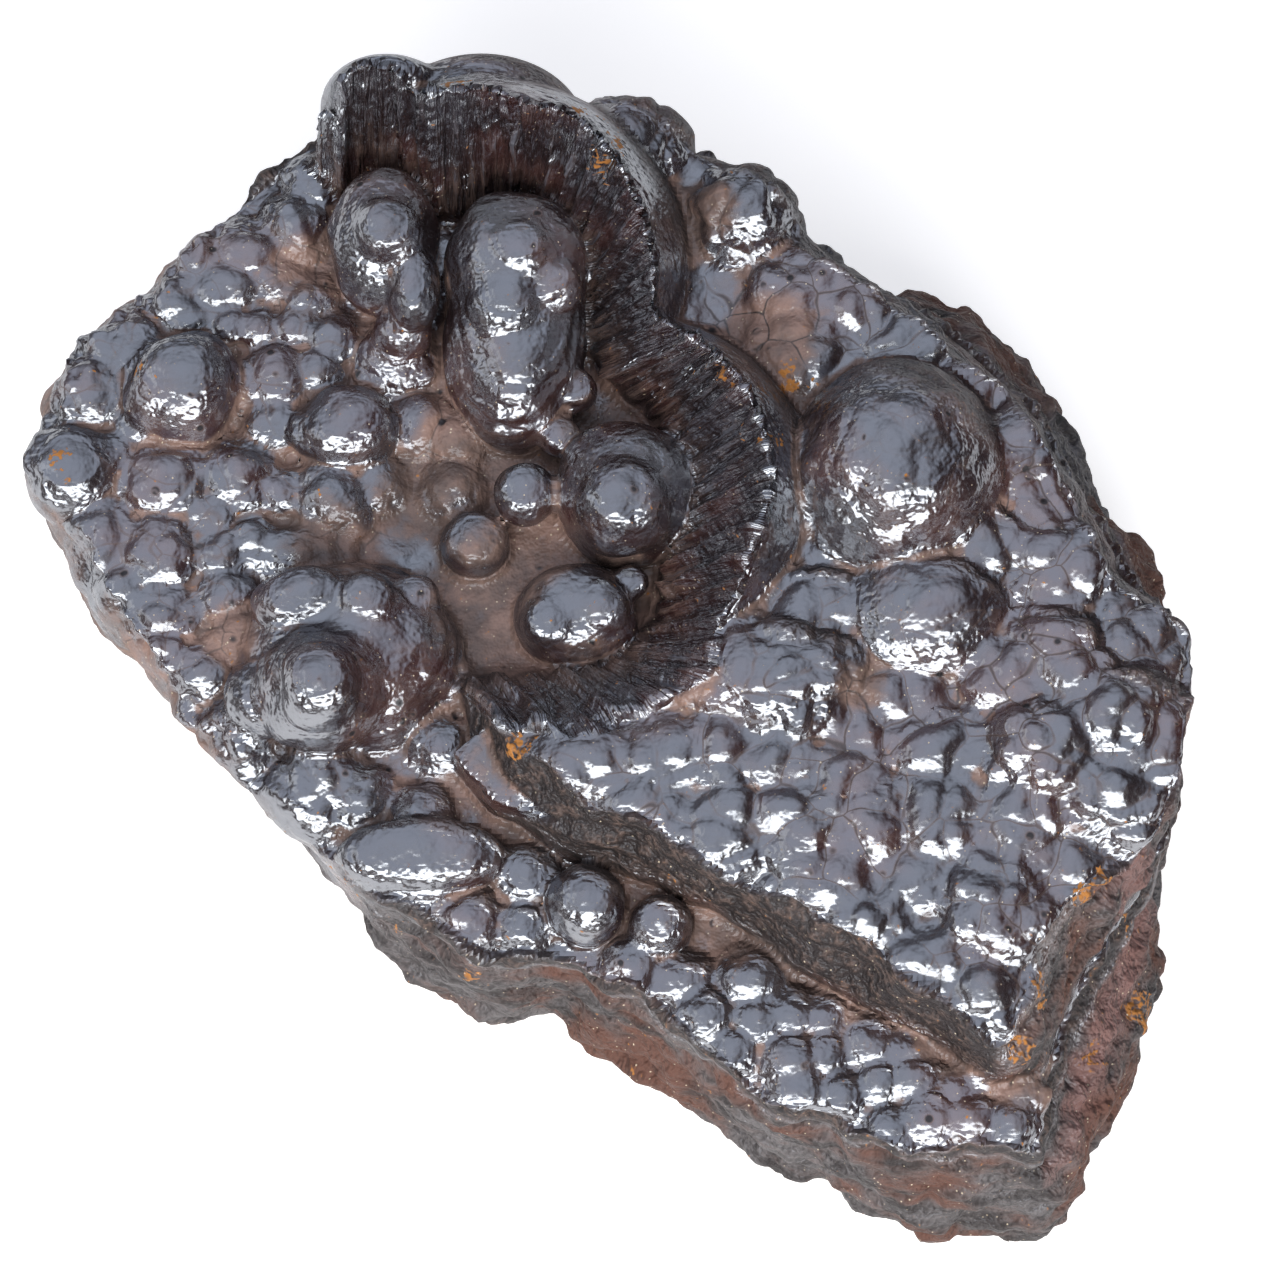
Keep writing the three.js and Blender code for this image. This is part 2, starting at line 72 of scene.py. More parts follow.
# heights and edges of the block, in mm
block = {
    "toe": 3.0,
    "waist": 11.0,
    "lowerCrust": 20.0,
    "upperCrust": 28.0,
    "craterFloor": 20.6,
    "buried": 16.0,
    "ledge": 23.4,
    "toeInset": 1.3,
    "leftEdgeRound": 3.6,
    "leftEdgeStart": -24.0,
    "roughness": 0.5,
    "groove": 0.9,
}

# x, y at the toe, at the waist and at the edge of the lower crust, anticlockwise from the front left
sideStations = [
    [-23.6, -16.9, -24.0, -18.0, -22.0, -20.4],
    [-21.7, -19.9, -21.6, -20.8, -19.8, -21.5],
    [-19.2, -22.4, -18.8, -22.8, -16.7, -22.8],
    [-16.3, -24.6, -16.0, -25.0, -15.0, -24.7],
    [-13.4, -26.4, -13.2, -26.6, -13.0, -26.1],
    [-11.0, -26.9, -11.0, -26.7, -11.2, -26.1],
    [-7.7, -26.1, -7.6, -25.4, -7.3, -25.7],
    [-6.5, -26.7, -5.6, -26.5, -4.5, -26.7],
    [-3.5, -29.7, -2.6, -28.9, -2.1, -28.4],
    [-0.3, -31.1, 0.1, -30.3, 0.0, -29.0],
    [3.2, -33.3, 3.3, -32.6, 3.2, -32.0],
    [6.5, -35.4, 6.4, -35.0, 6.0, -34.3],
    [9.7, -37.9, 9.6, -38.0, 9.2, -37.8],
    [12.9, -39.7, 12.4, -39.6, 11.9, -38.9],
    [15.3, -39.7, 15.1, -39.6, 14.8, -39.0],
    [17.6, -41.8, 17.6, -41.7, 17.5, -40.9],
    [20.8, -43.5, 20.5, -43.0, 19.7, -42.2],
    [24.0, -45.0, 23.6, -43.6, 22.9, -41.8],
    [28.0, -44.4, 27.4, -43.3, 26.5, -41.3],
    [31.2, -45.0, 30.4, -43.6, 29.0, -41.8],
    [33.8, -44.6, 33.0, -43.2, 31.0, -42.3],
    [35.0, -42.5, 34.9, -40.5, 31.4, -39.6],
    [36.5, -37.0, 36.2, -37.3, 31.6, -36.6],
    [39.0, -33.0, 37.9, -34.1, 32.6, -32.9],
    [40.0, -29.5, 39.2, -30.8, 34.0, -30.0],
    [41.0, -26.0, 40.2, -27.6, 35.6, -27.0],
    [42.0, -22.0, 41.5, -24.3, 37.2, -24.2],
    [41.0, -17.0, 41.0, -19.3, 39.6, -20.6],
    [41.5, -12.0, 42.0, -14.0, 42.2, -15.0],
    [42.2, -7.0, 43.0, -8.0, 43.2, -8.6],
    [42.8, -1.0, 43.5, -2.0, 43.5, -3.0],
    [43.3, 4.0, 43.6, 3.5, 42.6, 2.2],
    [43.2, 9.5, 42.5, 8.2, 39.6, 6.4],
    [41.5, 13.5, 41.5, 11.5, 37.8, 10.2],
    [39.0, 16.8, 38.0, 14.6, 36.0, 13.4],
    [37.5, 20.5, 37.0, 19.0, 34.0, 17.4],
    [36.2, 24.5, 35.6, 22.6, 32.6, 20.8],
    [34.2, 28.0, 33.6, 26.2, 29.8, 23.6],
    [32.0, 31.5, 30.8, 29.4, 27.4, 26.2],
    [28.4, 35.5, 27.6, 33.2, 24.2, 28.8],
    [24.5, 36.5, 24.6, 34.2, 20.8, 30.4],
    [21.0, 36.5, 21.3, 34.4, 17.8, 31.8],
    [16.0, 38.0, 16.2, 36.2, 14.6, 34.2],
    [11.0, 41.0, 11.8, 41.2, 11.3, 39.6],
    [5.0, 43.5, 5.5, 43.5, 6.0, 43.0],
    [-1.0, 45.0, -1.0, 46.0, -0.5, 46.0],
    [-7.0, 45.5, -7.5, 47.0, -7.5, 47.6],
    [-13.0, 45.0, -14.0, 47.0, -14.0, 47.8],
    [-19.0, 44.0, -20.0, 46.0, -20.0, 47.4],
    [-24.0, 42.0, -25.0, 44.5, -25.5, 46.8],
    [-27.0, 39.5, -29.0, 43.0, -29.5, 44.5],
    [-30.0, 35.5, -32.5, 39.5, -33.0, 40.5],
    [-33.0, 32.5, -35.5, 36.0, -36.0, 37.0],
    [-35.0, 29.5, -38.5, 34.0, -39.0, 35.5],
    [-36.5, 26.5, -40.5, 31.0, -40.5, 32.0],
    [-38.5, 24.0, -43.0, 29.0, -43.0, 30.0],
    [-40.0, 20.5, -47.0, 26.0, -47.0, 26.5],
    [-41.0, 16.5, -49.0, 21.0, -49.0, 21.5],
    [-41.0, 11.5, -49.5, 15.0, -49.5, 15.5],
    [-40.0, 7.0, -48.0, 10.5, -47.4, 11.2],
    [-38.5, 4.5, -46.5, 8.0, -46.0, 6.5],
    [-36.6, 2.0, -44.5, 4.5, -44.0, 2.6],
    [-34.5, -1.0, -41.2, 2.0, -40.8, -1.2],
    [-31.8, -3.8, -37.8, -1.2, -38.0, -5.0],
    [-29.5, -7.5, -34.5, -5.5, -34.5, -9.0],
    [-27.5, -10.5, -31.5, -8.5, -31.0, -12.0],
    [-25.8, -13.2, -28.5, -12.0, -28.0, -15.0],
    [-24.8, -15.2, -25.8, -15.2, -24.8, -18.2],
]

# x, y at the foot and at the top of the upper crust's wall, anticlockwise from the tip of its break
upperCrustStations = [
    [-12.0, -14.0, -9.0, -11.4], [-9.0, -16.0, -6.2, -14.0], [-6.0, -18.3, -3.6, -16.8],
    [-2.1, -18.8, -0.2, -17.9], [1.6, -20.5, 3.0, -19.8], [5.7, -22.8, 6.5, -22.4],
    [9.5, -25.0, 11.0, -23.6], [12.0, -27.2, 13.8, -25.8], [15.5, -28.8, 17.5, -27.9],
    [18.5, -30.6, 19.3, -30.1], [21.6, -32.2, 22.5, -32.0], [24.5, -34.2, 24.9, -33.9],
    [28.0, -36.6, 26.8, -35.9], [30.8, -35.8, 28.4, -34.4], [31.8, -33.0, 29.4, -31.6],
    [33.0, -30.4, 30.3, -28.8], [34.3, -27.6, 31.6, -26.0], [35.8, -25.2, 33.4, -23.8],
    [38.0, -22.0, 35.6, -21.9], [39.6, -20.0, 38.3, -20.7], [40.0, -18.0, 40.0, -19.0],
    [41.6, -14.5, 41.6, -15.5], [42.0, -9.5, 42.4, -10.7], [42.6, -4.5, 43.2, -6.0],
    [42.6, 0.0, 42.8, -2.0], [41.0, 3.5, 40.0, 0.2], [38.5, 5.5, 36.8, 1.8],
    [37.2, 9.0, 35.3, 6.1], [35.3, 13.0, 33.6, 11.2], [33.2, 17.0, 30.8, 14.8],
    [31.5, 20.8, 29.5, 18.0], [28.5, 23.6, 25.4, 20.4], [25.0, 27.0, 22.6, 23.6],
    [21.0, 30.0, 19.2, 26.8], [17.5, 32.8, 15.6, 29.0], [14.0, 35.5, 12.5, 32.0],
    [11.5, 39.8, 11.5, 36.5], [6.0, 42.0, 6.0, 38.5], [0.0, 45.4, 1.0, 41.0],
    [-7.0, 47.0, -5.0, 43.5], [-13.5, 47.0, -12.0, 45.5], [-19.5, 46.8, -19.0, 45.6],
    [-25.3, 46.2, -25.0, 45.8], [-27.5, 42.5, -26.5, 42.0],
]

# x, y, z on the sharp rim of the broken shells and x, y at the foot of their wall, from the back left fin
rimStations = [
    [-34.0, 50.0, 34, -36.0, 47.0], [-26.4, 45.6, 34, -27.4, 41.6], [-24.9, 44.6, 34, -25.0, 39.6],
    [-22.8, 45.1, 34, -23.4, 41.0], [-20.6, 44.5, 34, -21.0, 41.2], [-18.9, 43.5, 34, -18.9, 39.6],
    [-16.8, 42.2, 34, -17.2, 37.2], [-14.5, 42.0, 34, -14.5, 37.5], [-12.0, 41.5, 34, -12.0, 38.6],
    [-9.1, 39.2, 34, -10.3, 38.4], [-6.6, 39.8, 34, -8.6, 37.4], [-4.1, 38.0, 34, -7.0, 35.4],
    [-2.3, 35.9, 34, -5.9, 33.6], [-1.1, 33.5, 34, -5.2, 32.0], [0.0, 31.2, 34, -4.8, 30.5],
    [1.1, 28.8, 34, -4.5, 29.0], [1.7, 27.0, 34, -4.4, 27.6], [1.6, 24.4, 33, -4.2, 25.9],
    [3.0, 21.4, 31, -3.2, 23.8], [4.7, 19.8, 33, -1.5, 21.5], [6.5, 18.7, 34, 0.5, 19.8],
    [7.8, 17.2, 34, 2.0, 17.8], [8.9, 14.4, 34, 2.9, 15.0], [9.8, 11.6, 34, 3.1, 12.0],
    [10.6, 8.7, 34, 2.8, 9.2], [10.1, 5.9, 34, 2.2, 7.0], [8.6, 2.5, 33, 1.8, 4.5],
    [7.8, 0.2, 32, 1.3, 2.2], [6.0, -2.6, 30, 0.2, -0.2], [4.3, -5.4, 29, -1.8, -1.6],
    [1.2, -8.4, 28, -4.0, -2.5], [-2.0, -9.8, 28, -7.0, -3.0], [-5.9, -10.4, 28, -10.0, -3.3],
    [-9.2, -10.6, 28, -13.7, -4.0], [-11.6, -13.4, 28, -16.4, -6.0], [-30.0, -30.0, 28, -30.0, -28.0],
]
openCorners = [[-75, -30], [-75, 62], [-34, 62]]
ledgeOutline = [[-15.0, -10.4], [-11.6, -14.4], [-7.5, -16.2], [-3.6, -17.6], [-3.0, -13.0], [-11.0, -8.0]]

# domes that stand clear of the crusts: x, y, z of the centre and the three radii
shellDomes = [
    [-12.5, 30.0, 22.4, 17.0, 17.0, 17.0],
    [-1.0, 10.0, 22.4, 15.8, 15.8, 15.8],
]
upperDomes = [
    [-20.6, 44.7, 24.6, 5.8, 3.0, 8.6],
    [-13.0, 43.6, 23.5, 8.5, 5.5, 8.6],
    [-1.0, 40.5, 24.4, 5.5, 5.5, 5.6],
    [8.5, 34.0, 24.5, 4.8, 5.4, 6.6],
    [20.3, 11.2, 27.0, 8.7, 9.3, 9.6],
    [22.6, -0.6, 26.2, 7.2, 6.2, 5.8],
]
lowerDomes = [
    [-37.3, 21.6, 20.2, 4.9, 4.9, 4.6], [-23.7, 18.2, 20.0, 4.1, 3.8, 3.6], [-46.0, 14.8, 18.6, 4.1, 4.1, 3.9],
    [-23.3, -1.4, 18.2, 9.2, 8.2, 7.2], [-25.1, -5.0, 22.6, 5.3, 5.3, 4.7], [-25.1, -6.0, 26.4, 3.4, 3.4, 3.1],
    [-26.8, 2.2, 23.0, 4.0, 3.0, 2.9], [-21.8, 1.6, 23.6, 2.6, 2.6, 2.3], [-29.4, -5.4, 20.8, 3.3, 3.3, 3.0],
    [-17.2, -18.2, 19.8, 6.8, 3.2, 2.9], [-4.3, -22.0, 20.4, 3.1, 3.3, 3.0], [1.6, -23.8, 20.0, 2.5, 2.5, 2.3],
    [-21.2, 34.0, 22.2, 4.6, 6.4, 4.8], [-20.3, 33.0, 26.0, 2.9, 2.9, 2.7], [-18.4, 29.0, 24.0, 2.2, 3.6, 3.0],
    [-10.2, 31.0, 23.2, 5.9, 6.6, 5.6], [-9.7, 31.2, 27.2, 2.6, 2.6, 2.3], [-10.8, 26.8, 25.4, 3.4, 3.2, 3.0],
    [-7.0, 28.6, 25.6, 2.5, 2.5, 2.4], [-10.2, 26.0, 20.4, 5.8, 9.8, 6.6], [-1.3, 9.8, 24.2, 4.1, 4.1, 4.0],
    [-1.0, 12.2, 21.0, 6.0, 6.0, 5.6], [-5.2, 1.8, 20.2, 5.0, 4.4, 3.9], [-9.1, 11.9, 21.6, 2.6, 2.6, 2.5],
    [-7.1, 0.6, 22.4, 2.3, 2.3, 2.0], [-3.3, 1.6, 22.5, 2.3, 2.3, 2.0], [-19.4, 26.3, 21.4, 2.4, 2.4, 2.1],
    [-5.2, 21.0, 21.4, 1.9, 1.9, 1.7], [-6.5, 17.2, 21.0, 1.8, 1.8, 1.6], [-0.7, 4.4, 21.4, 1.5, 1.5, 1.3],
    [-13.3, 8.2, 20.0, 2.9, 2.8, 2.5], [-18.0, 2.6, 21.6, 2.2, 2.4, 1.9], [-26.8, 17.7, 20.0, 2.2, 2.2, 1.9],
]

# packed lumps: x, y, radius along X and along Y, lift above the crust
lowerLumps = [
    [-43.3, 15.7, 2.2], [-38.5, 13.7, 3.8, 3.2], [-32.6, 14.2, 2.9], [-25.0, 12.4, 3.0], [-27.7, 7.7, 3.3, 2.0],
    [-43.0, 8.8, 2.4, 3.2], [-39.0, 7.4, 3.3], [-33.8, 7.4, 2.1], [-31.0, 8.4, 1.9], [-38.5, 2.4, 3.5, 2.3],
    [-38.3, -1.1, 1.9], [-35.2, -2.5, 2.0], [-32.7, 34.2, 2.9, 2.3], [-34.6, 31.0, 3.0, 2.2], [-30.0, 31.6, 1.7],
    [-37.2, 28.5, 2.2, 1.6], [-34.0, 27.8, 1.6], [-31.3, 27.4, 1.6], [-27.5, 30.0, 1.8], [-28.2, 27.6, 1.8],
    [-25.3, 26.4, 1.9], [-30.0, 22.7, 2.8], [-29.9, 18.8, 2.1], [-26.7, 23.3, 1.9], [-18.0, 18.8, 2.0],
    [-20.2, 24.8, 2.6], [-36.6, 33.6, 2.2], [-44.9, 21.6, 3.1], [-42.4, 25.4, 3.0], [-38.4, 30.0, 2.1],
    [-21.5, 13.6, 1.9], [-29.0, 13.0, 1.8], [-42.2, 4.4, 2.4], [-40.8, 18.6, 2.0], [-34.8, 10.8, 1.9],
    [-33.4, 3.8, 2.2], [-28.6, 36.6, 2.4], [-27.0, 40.4, 2.0], [-32.4, 0.4, 2.0], [-15.2, 13.0, 2.0],
    [-15.0, 17.6, 1.7], [-31.8, -7.6, 2.6], [-25.3, -11.4, 3.0, 2.6], [-22.2, -13.0, 2.2],
    [-27.0, -13.8, 3.0, 2.2, -0.4], [-17.6, -14.6, 2.0], [-17.2, -21.4, 3.0, 1.4, -0.4], [-13.2, -23.2, 2.0],
    [-16.6, -3.4, 2.4, 2.0], [-15.8, -8.6, 1.8], [-9.2, -23.6, 1.6], [-8.9, -19.6, 1.9], [8.8, -28.0, 2.3],
    [3.0, -28.0, 2.2, 1.6], [5.0, -31.0, 2.0], [7.2, -33.8, 1.7], [9.2, -31.3, 1.9], [11.9, -30.8, 1.8],
    [14.4, -31.0, 1.7], [11.7, -34.5, 2.1], [14.6, -34.0, 1.8], [17.6, -33.0, 2.0], [20.6, -33.6, 2.2, 1.6],
    [21.2, -36.0, 1.9], [12.3, -37.0, 1.9], [15.6, -37.2, 1.8], [18.4, -36.4, 1.7], [22.2, -39.0, 2.3],
    [19.2, -39.8, 1.8], [25.4, -39.2, 2.0], [28.4, -39.6, 1.8], [26.2, -35.8, 2.0, 1.5], [29.4, -37.0, 1.6],
    [24.3, -36.9, 1.5], [-0.4, -27.0, 1.8],
]
upperLumps = [
    [29.9, 12.4, 4.6, 4.4, 1.0], [32.2, 8.2, 3.2, 3.4, 0.6], [33.6, 3.6, 4.4, 4.0, 1.4],
    [27.2, 5.0, 3.4, 3.0, 1.6], [21.5, 22.2, 5.0, 3.0, 0.4], [17.8, 25.6, 3.4, 3.2, 0.3],
    [13.2, 27.0, 3.4, 3.2], [13.6, 21.6, 3.8, 3.6, -0.4], [26.4, 18.6, 3.4, 2.8],
    [39.0, -2.8, 3.8, 3.6, 0.4], [28.6, -6.4, 3.6, 2.9, 1.0], [23.2, -11.6, 3.6, 3.0, 0.6],
    [32.8, -5.0, 4.2, 3.8, 2.2], [31.0, -12.6, 4.4, 4.2, 2.3], [36.6, -9.6, 4.4, 4.2, 2.6],
    [40.2, -12.4, 3.2, 4.0, 1.4], [36.0, -15.8, 4.0, 3.2, 1.6], [11.2, -6.6, 5.6, 4.7, 1.4],
    [14.0, 0.2, 3.6, 3.0, 0.6], [20.4, -7.6, 3.4, 2.6], [16.6, -10.0, 3.2, 2.6],
    [10.6, -12.6, 3.4, 2.6, 0.4], [15.8, -13.8, 3.2, 2.7, 0.3], [12.4, -17.8, 3.8, 3.2, 0.4],
    [18.0, -18.2, 3.2, 3.4, 0.2], [22.6, -17.2, 3.4, 4.0, 0.4], [20.8, -22.2, 3.2, 2.6],
    [14.2, -22.4, 3.2, 2.4], [17.6, -25.4, 3.2, 2.4], [27.2, -24.4, 4.0, 4.6, 0.6],
    [21.8, -28.8, 3.2, 2.6], [26.0, -31.0, 3.0, 2.8], [-3.6, -12.8, 3.6, 2.2, -0.4],
    [1.8, -12.8, 3.2, 2.6], [6.4, -12.4, 2.8, 3.0, 0.2], [1.4, -16.6, 3.4, 2.2, -0.2],
    [6.4, -18.2, 3.4, 3.0], [29.0, -18.2, 3.8, 3.6, 0.4], [32.4, -21.6, 3.2, 2.8],
    [14.8, 6.0, 3.2, 3.6, -0.4],
]

cameraSetup = {
    "target": (0.0, 0.0, 20.0),  # shows in the middle of the picture, in mm from the datum
    "elevation": 70.0,
    "distance": 340.0,
    "frameWidth": 102.4,  # width of the picture at the target, in mm
    "sensor": 36.0,
}


def toFrame(x, y, z):
    dx, dy, dz = layout["datum"]
    scale = layout["metres"]
    return Vector(((x + dx) * scale, (y + dy) * scale, (z + dz) * scale))


def newObject(name, data):
    made = bpy.data.objects.new(name, data)
    bpy.context.scene.collection.objects.link(made)
    return made


def makeCamera():
    tilt = math.radians(cameraSetup["elevation"])
    x, y, z = cameraSetup["target"]
    away = cameraSetup["distance"]
    data = bpy.data.cameras.new("camera")
    data.sensor_width = cameraSetup["sensor"]
    data.lens = cameraSetup["sensor"] * away / cameraSetup["frameWidth"]
    data.clip_start = 0.01
    data.clip_end = 20.0
    camera = newObject("camera", data)
    camera.location = toFrame(x, y - away * math.cos(tilt), z + away * math.sin(tilt))
    camera.rotation_euler = (math.pi / 2 - tilt, 0.0, 0.0)
    bpy.context.scene.camera = camera


step = layout["step"]
gridAxes = [np.arange(low, high, step) for low, high in zip(layout["low"], layout["high"])]
gridX = gridAxes[0][:, None, None].astype(np.float32)
gridY = gridAxes[1][None, :, None].astype(np.float32)
gridZ = gridAxes[2][None, None, :].astype(np.float32)


def mix(a, b, t):
    return a + (b - a) * t


def smoothStep(low, high, value):
    t = np.clip((value - low) / (high - low), 0.0, 1.0)
    return t * t * (3.0 - 2.0 * t)


def softMin(a, b, reach):
    share = np.clip(0.5 + 0.5 * (b - a) / reach, 0.0, 1.0)
    return b + (a - b) * share - reach * share * (1.0 - share)


def softMax(a, b, reach):
    return -softMin(-a, -b, reach)


def randomOf(*keys):  # repeatable numbers from 0 to 1 for whole-number keys
    total = 0.0
    for i, key in enumerate(keys):
        total = total + key * (127.1, 311.7, 74.7, 53.9)[i]
    value = np.sin(total) * 43758.5453
    return value - np.floor(value)


def stretched(coarse, coarseAxes, fineAxes):  # linear enlargement of a coarse volume
    volume = coarse
    for axis, (few, many) in enumerate(zip(coarseAxes, fineAxes)):
        place = np.interp(many, few, np.arange(len(few)))
        index = np.minimum(place.astype(int), len(few) - 2)
        shape = [1, 1, 1]
        shape[axis] = len(many)
        share = (place - index).reshape(shape).astype(np.float32)
        volume = np.take(volume, index, axis) * (1 - share) + np.take(volume, index + 1, axis) * share
    return volume


def outlineDistance(outline, x, y):  # signed distance, below zero inside, and the station number
    points = np.asarray(outline, float)
    ends = np.roll(points, -1, 0)
    nearest = np.full(np.shape(x), 1e9)
    inside = np.zeros(np.shape(x), bool)
    station = np.zeros(np.shape(x))
    for i, ((ax, ay), (bx, by)) in enumerate(zip(points, ends)):
        ex, ey = bx - ax, by - ay
        along = np.clip(((x - ax) * ex + (y - ay) * ey) / (ex * ex + ey * ey), 0.0, 1.0)
        away = (x - ax - along * ex) ** 2 + (y - ay - along * ey) ** 2
        closer = away < nearest
        nearest = np.where(closer, away, nearest)
        station = np.where(closer, i + along, station)
        crosses = (ay > y) != (by > y)
        inside ^= crosses & (x < ax + (y - ay) * ex / (ey if ey else 1e-9))
    return np.where(inside, -1.0, 1.0) * np.sqrt(nearest), station


def roughAxes(spacing, margin):  # a coarser grid over the same space
    return [np.arange(low - margin, high + spacing + margin, spacing)
            for low, high in zip(layout["low"], layout["high"])]


def columnVolume(outlineAt, levels):  # signed side distance of a stack of outlines, on the whole grid
    axes = roughAxes(layout["outlineStep"], 0.0)[:2]
    x, y = np.meshgrid(*axes, indexing="ij")
    slices = [outlineDistance(outlineAt(z), x, y)[0] for z in levels]
    coarse = np.stack(slices, 2).astype(np.float32)
    return stretched(coarse, [*axes, np.asarray(levels, float)], gridAxes)


def blockOutline(z):
    toe, waist, crust = block["toe"], block["waist"], block["lowerCrust"]
    outline = []
    for row in sideStations:
        if z < waist:
            t = np.clip((z - toe) / (waist - toe), 0.0, 1.0)
            x, y = mix(row[0], row[2], t), mix(row[1], row[3], t)
        else:
            t = np.clip((z - waist) / (crust - 2.0 - waist), 0.0, 1.0)
            x, y = mix(row[2], row[4], t), mix(row[3], row[5], t)
        inset = block["toeInset"] * np.clip(1.0 - z / toe, 0.0, 1.0) ** 2
        if x < block["leftEdgeStart"]:
            inset += block["leftEdgeRound"] * np.clip((z - crust + 3.0) / 6.0, 0.0, 1.0) ** 1.6
        scale = 1.0 - inset / math.hypot(x, y)
        outline.append((x * scale, y * scale))
    return outline


def upperOutline(z):
    t = np.clip((z - block["lowerCrust"]) / (block["upperCrust"] - block["lowerCrust"]), 0.0, 1.0)
    return [(mix(fx, tx, t), mix(fy, ty, t)) for fx, fy, tx, ty in upperCrustStations]


def brokenOutline(z):
    outline = []
    for rx, ry, rz, fx, fy in rimStations:
        up = (z - block["craterFloor"]) / (rz - block["craterFloor"])
        outline.append((mix(fx, rx, up), mix(fy, ry, up)))
    return outline + openCorners


def latticeNoise(spacing, seed):  # smooth random volume between -1 and 1
    axes = roughAxes(spacing, spacing)
    random = np.random.default_rng(seed)
    coarse = random.uniform(-1.0, 1.0, [len(a) for a in axes]).astype(np.float32)
    return stretched(coarse, axes, gridAxes)


def crustHeight(lumps, level, rise, reach):  # smooth swells that carry packed shallow pillows
    x, y = gridX[:, :, 0], gridY[:, :, 0]
    shape = (len(gridAxes[0]), len(gridAxes[1]))
    pillows = np.full(shape, -block["groove"], np.float32)
    weights, lifts = np.full(shape, 1e-3, np.float32), np.zeros(shape, np.float32)
    for row in lumps:
        cx, cy, rx = row[:3]
        ry = row[3] if len(row) > 3 else rx
        lift = row[4] if len(row) > 4 else 0.0
        away = ((x - cx) / rx) ** 2 + ((y - cy) / ry) ** 2
        pillows = np.maximum(pillows, min(rx, ry) * (0.3 + rise * (0.6 - away)))
        weight = np.exp(-away / reach)
        weights += weight
        lifts += weight * lift
    return level + lifts / weights + pillows


def cellPattern(points, size, seed):  # distance to the nearest random centre, and its own number
    p = points / size
    base = np.floor(p)
    nearest = np.full(len(p), 9.0)
    own = np.zeros(len(p))
    for corner in np.ndindex(3, 3, 3):
        cell = base + np.array(corner) - 1
        keys = (cell[:, 0], cell[:, 1], cell[:, 2])
        random = np.stack([randomOf(*keys, seed + n) for n in (0, 1, 2)], 1)
        centre = cell + 0.5 + relief["hammerScatter"] * (random - 0.5)
        away = np.linalg.norm(p - centre, axis=1)
        nearer = away < nearest
        own = np.where(nearer, randomOf(*keys, seed + 7), own)
        nearest = np.where(nearer, away, nearest)
    return nearest, own


def addDome(volume, row, reach):
    cx, cy, cz, rx, ry, rz = row
    spread = max(rx, ry, rz) + 2.0
    spans = []
    for axis, centre in zip(gridAxes, (cx, cy, cz)):
        spans.append(slice(*(int(n) for n in np.searchsorted(axis, (centre - spread, centre + spread)))))
    part = volume[spans[0], spans[1], spans[2]]
    x, y, z = gridX[spans[0]] - cx, gridY[:, spans[1]] - cy, gridZ[:, :, spans[2]] - cz
    scaled = np.sqrt((x / rx) ** 2 + (y / ry) ** 2 + (z / rz) ** 2)
    slope = np.sqrt((x / rx ** 2) ** 2 + (y / ry ** 2) ** 2 + (z / rz ** 2) ** 2) + 1e-6
    distance = scaled * (scaled - 1.0) / slope
    volume[spans[0], spans[1], spans[2]] = softMin(part, distance.astype(np.float32), reach)


sculpt = {
    "blockLevels": [-1.3, 0.0, 1.0, 2.0, 3.0, 7.0, 11.0, 15.0, 17.0, 18.5, 20.0, 21.5, 23.0, 26.0, 40.0],
    "upperLevels": [10.0, 20.0, 24.0, 28.0, 40.0],
    "brokenLevels": [14.0, 20.6, 24.0, 28.0, 32.0, 36.0, 40.0],
    "grain": [(7.0, 3, 1.0), (3.2, 4, 0.6), (1.6, 5, 0.3)],  # spacing, seed and share
    "lowerPillows": {"rise": 0.40, "reach": 0.6},
    "upperPillows": {"rise": 0.30, "reach": 0.9},
    "topScale": 0.85,  # turns a height over the sloping tops into a distance
    "wallScale": 0.9,  # the same for the leaning walls of the broken shells
    "edgeBlend": 0.3,
    "ledgeBlend": 0.4,
    "upperBlend": 0.5,
    "lowerDomeBlend": 0.35,
}


def sculptVolumes():
    toRough = sum(share * latticeNoise(spacing, seed) for spacing, seed, share in sculpt["grain"])
    side = columnVolume(blockOutline, sculpt["blockLevels"]) + block["roughness"] * toRough
    lowerTop = gridZ - crustHeight(lowerLumps, block["lowerCrust"], **sculpt["lowerPillows"])[:, :, None]
    lower = softMax(np.maximum(side, -gridZ), lowerTop * sculpt["topScale"], sculpt["edgeBlend"])
    report("lower block")
    upperSide = columnVolume(upperOutline, sculpt["upperLevels"])
    upperSide += 0.7 * block["roughness"] * toRough
    upperTop = gridZ - crustHeight(upperLumps, block["upperCrust"], **sculpt["upperPillows"])[:, :, None]
    upper = softMax(upperSide, upperTop * sculpt["topScale"], sculpt["edgeBlend"])
    upper = np.maximum(upper, block["buried"] - gridZ)
    crustGap = upperSide - np.maximum(upperTop, -30.0)
    for row in shellDomes + upperDomes:
        addDome(upper, row, sculpt["upperBlend"])
    broken = columnVolume(brokenOutline, sculpt["brokenLevels"])
    upper = np.maximum(upper, -broken * sculpt["wallScale"])
    report("upper crust and broken shells")
    x, y = np.meshgrid(gridAxes[0], gridAxes[1], indexing="ij")
    onLedge = outlineDistance(ledgeOutline, x, y)[0].astype(np.float32)[:, :, None]
    ledge = np.maximum(np.maximum(onLedge, gridZ - block["ledge"]), block["buried"] - gridZ)
    whole = softMin(softMin(lower, ledge, sculpt["ledgeBlend"]), upper, sculpt["upperBlend"])
    for row in lowerDomes:
        addDome(whole, row, sculpt["lowerDomeBlend"])
    report("domes")
    return {"whole": whole, "side": side, "broken": broken, "upper": upper,
            "blockGap": side - lowerTop, "crustGap": crustGap}


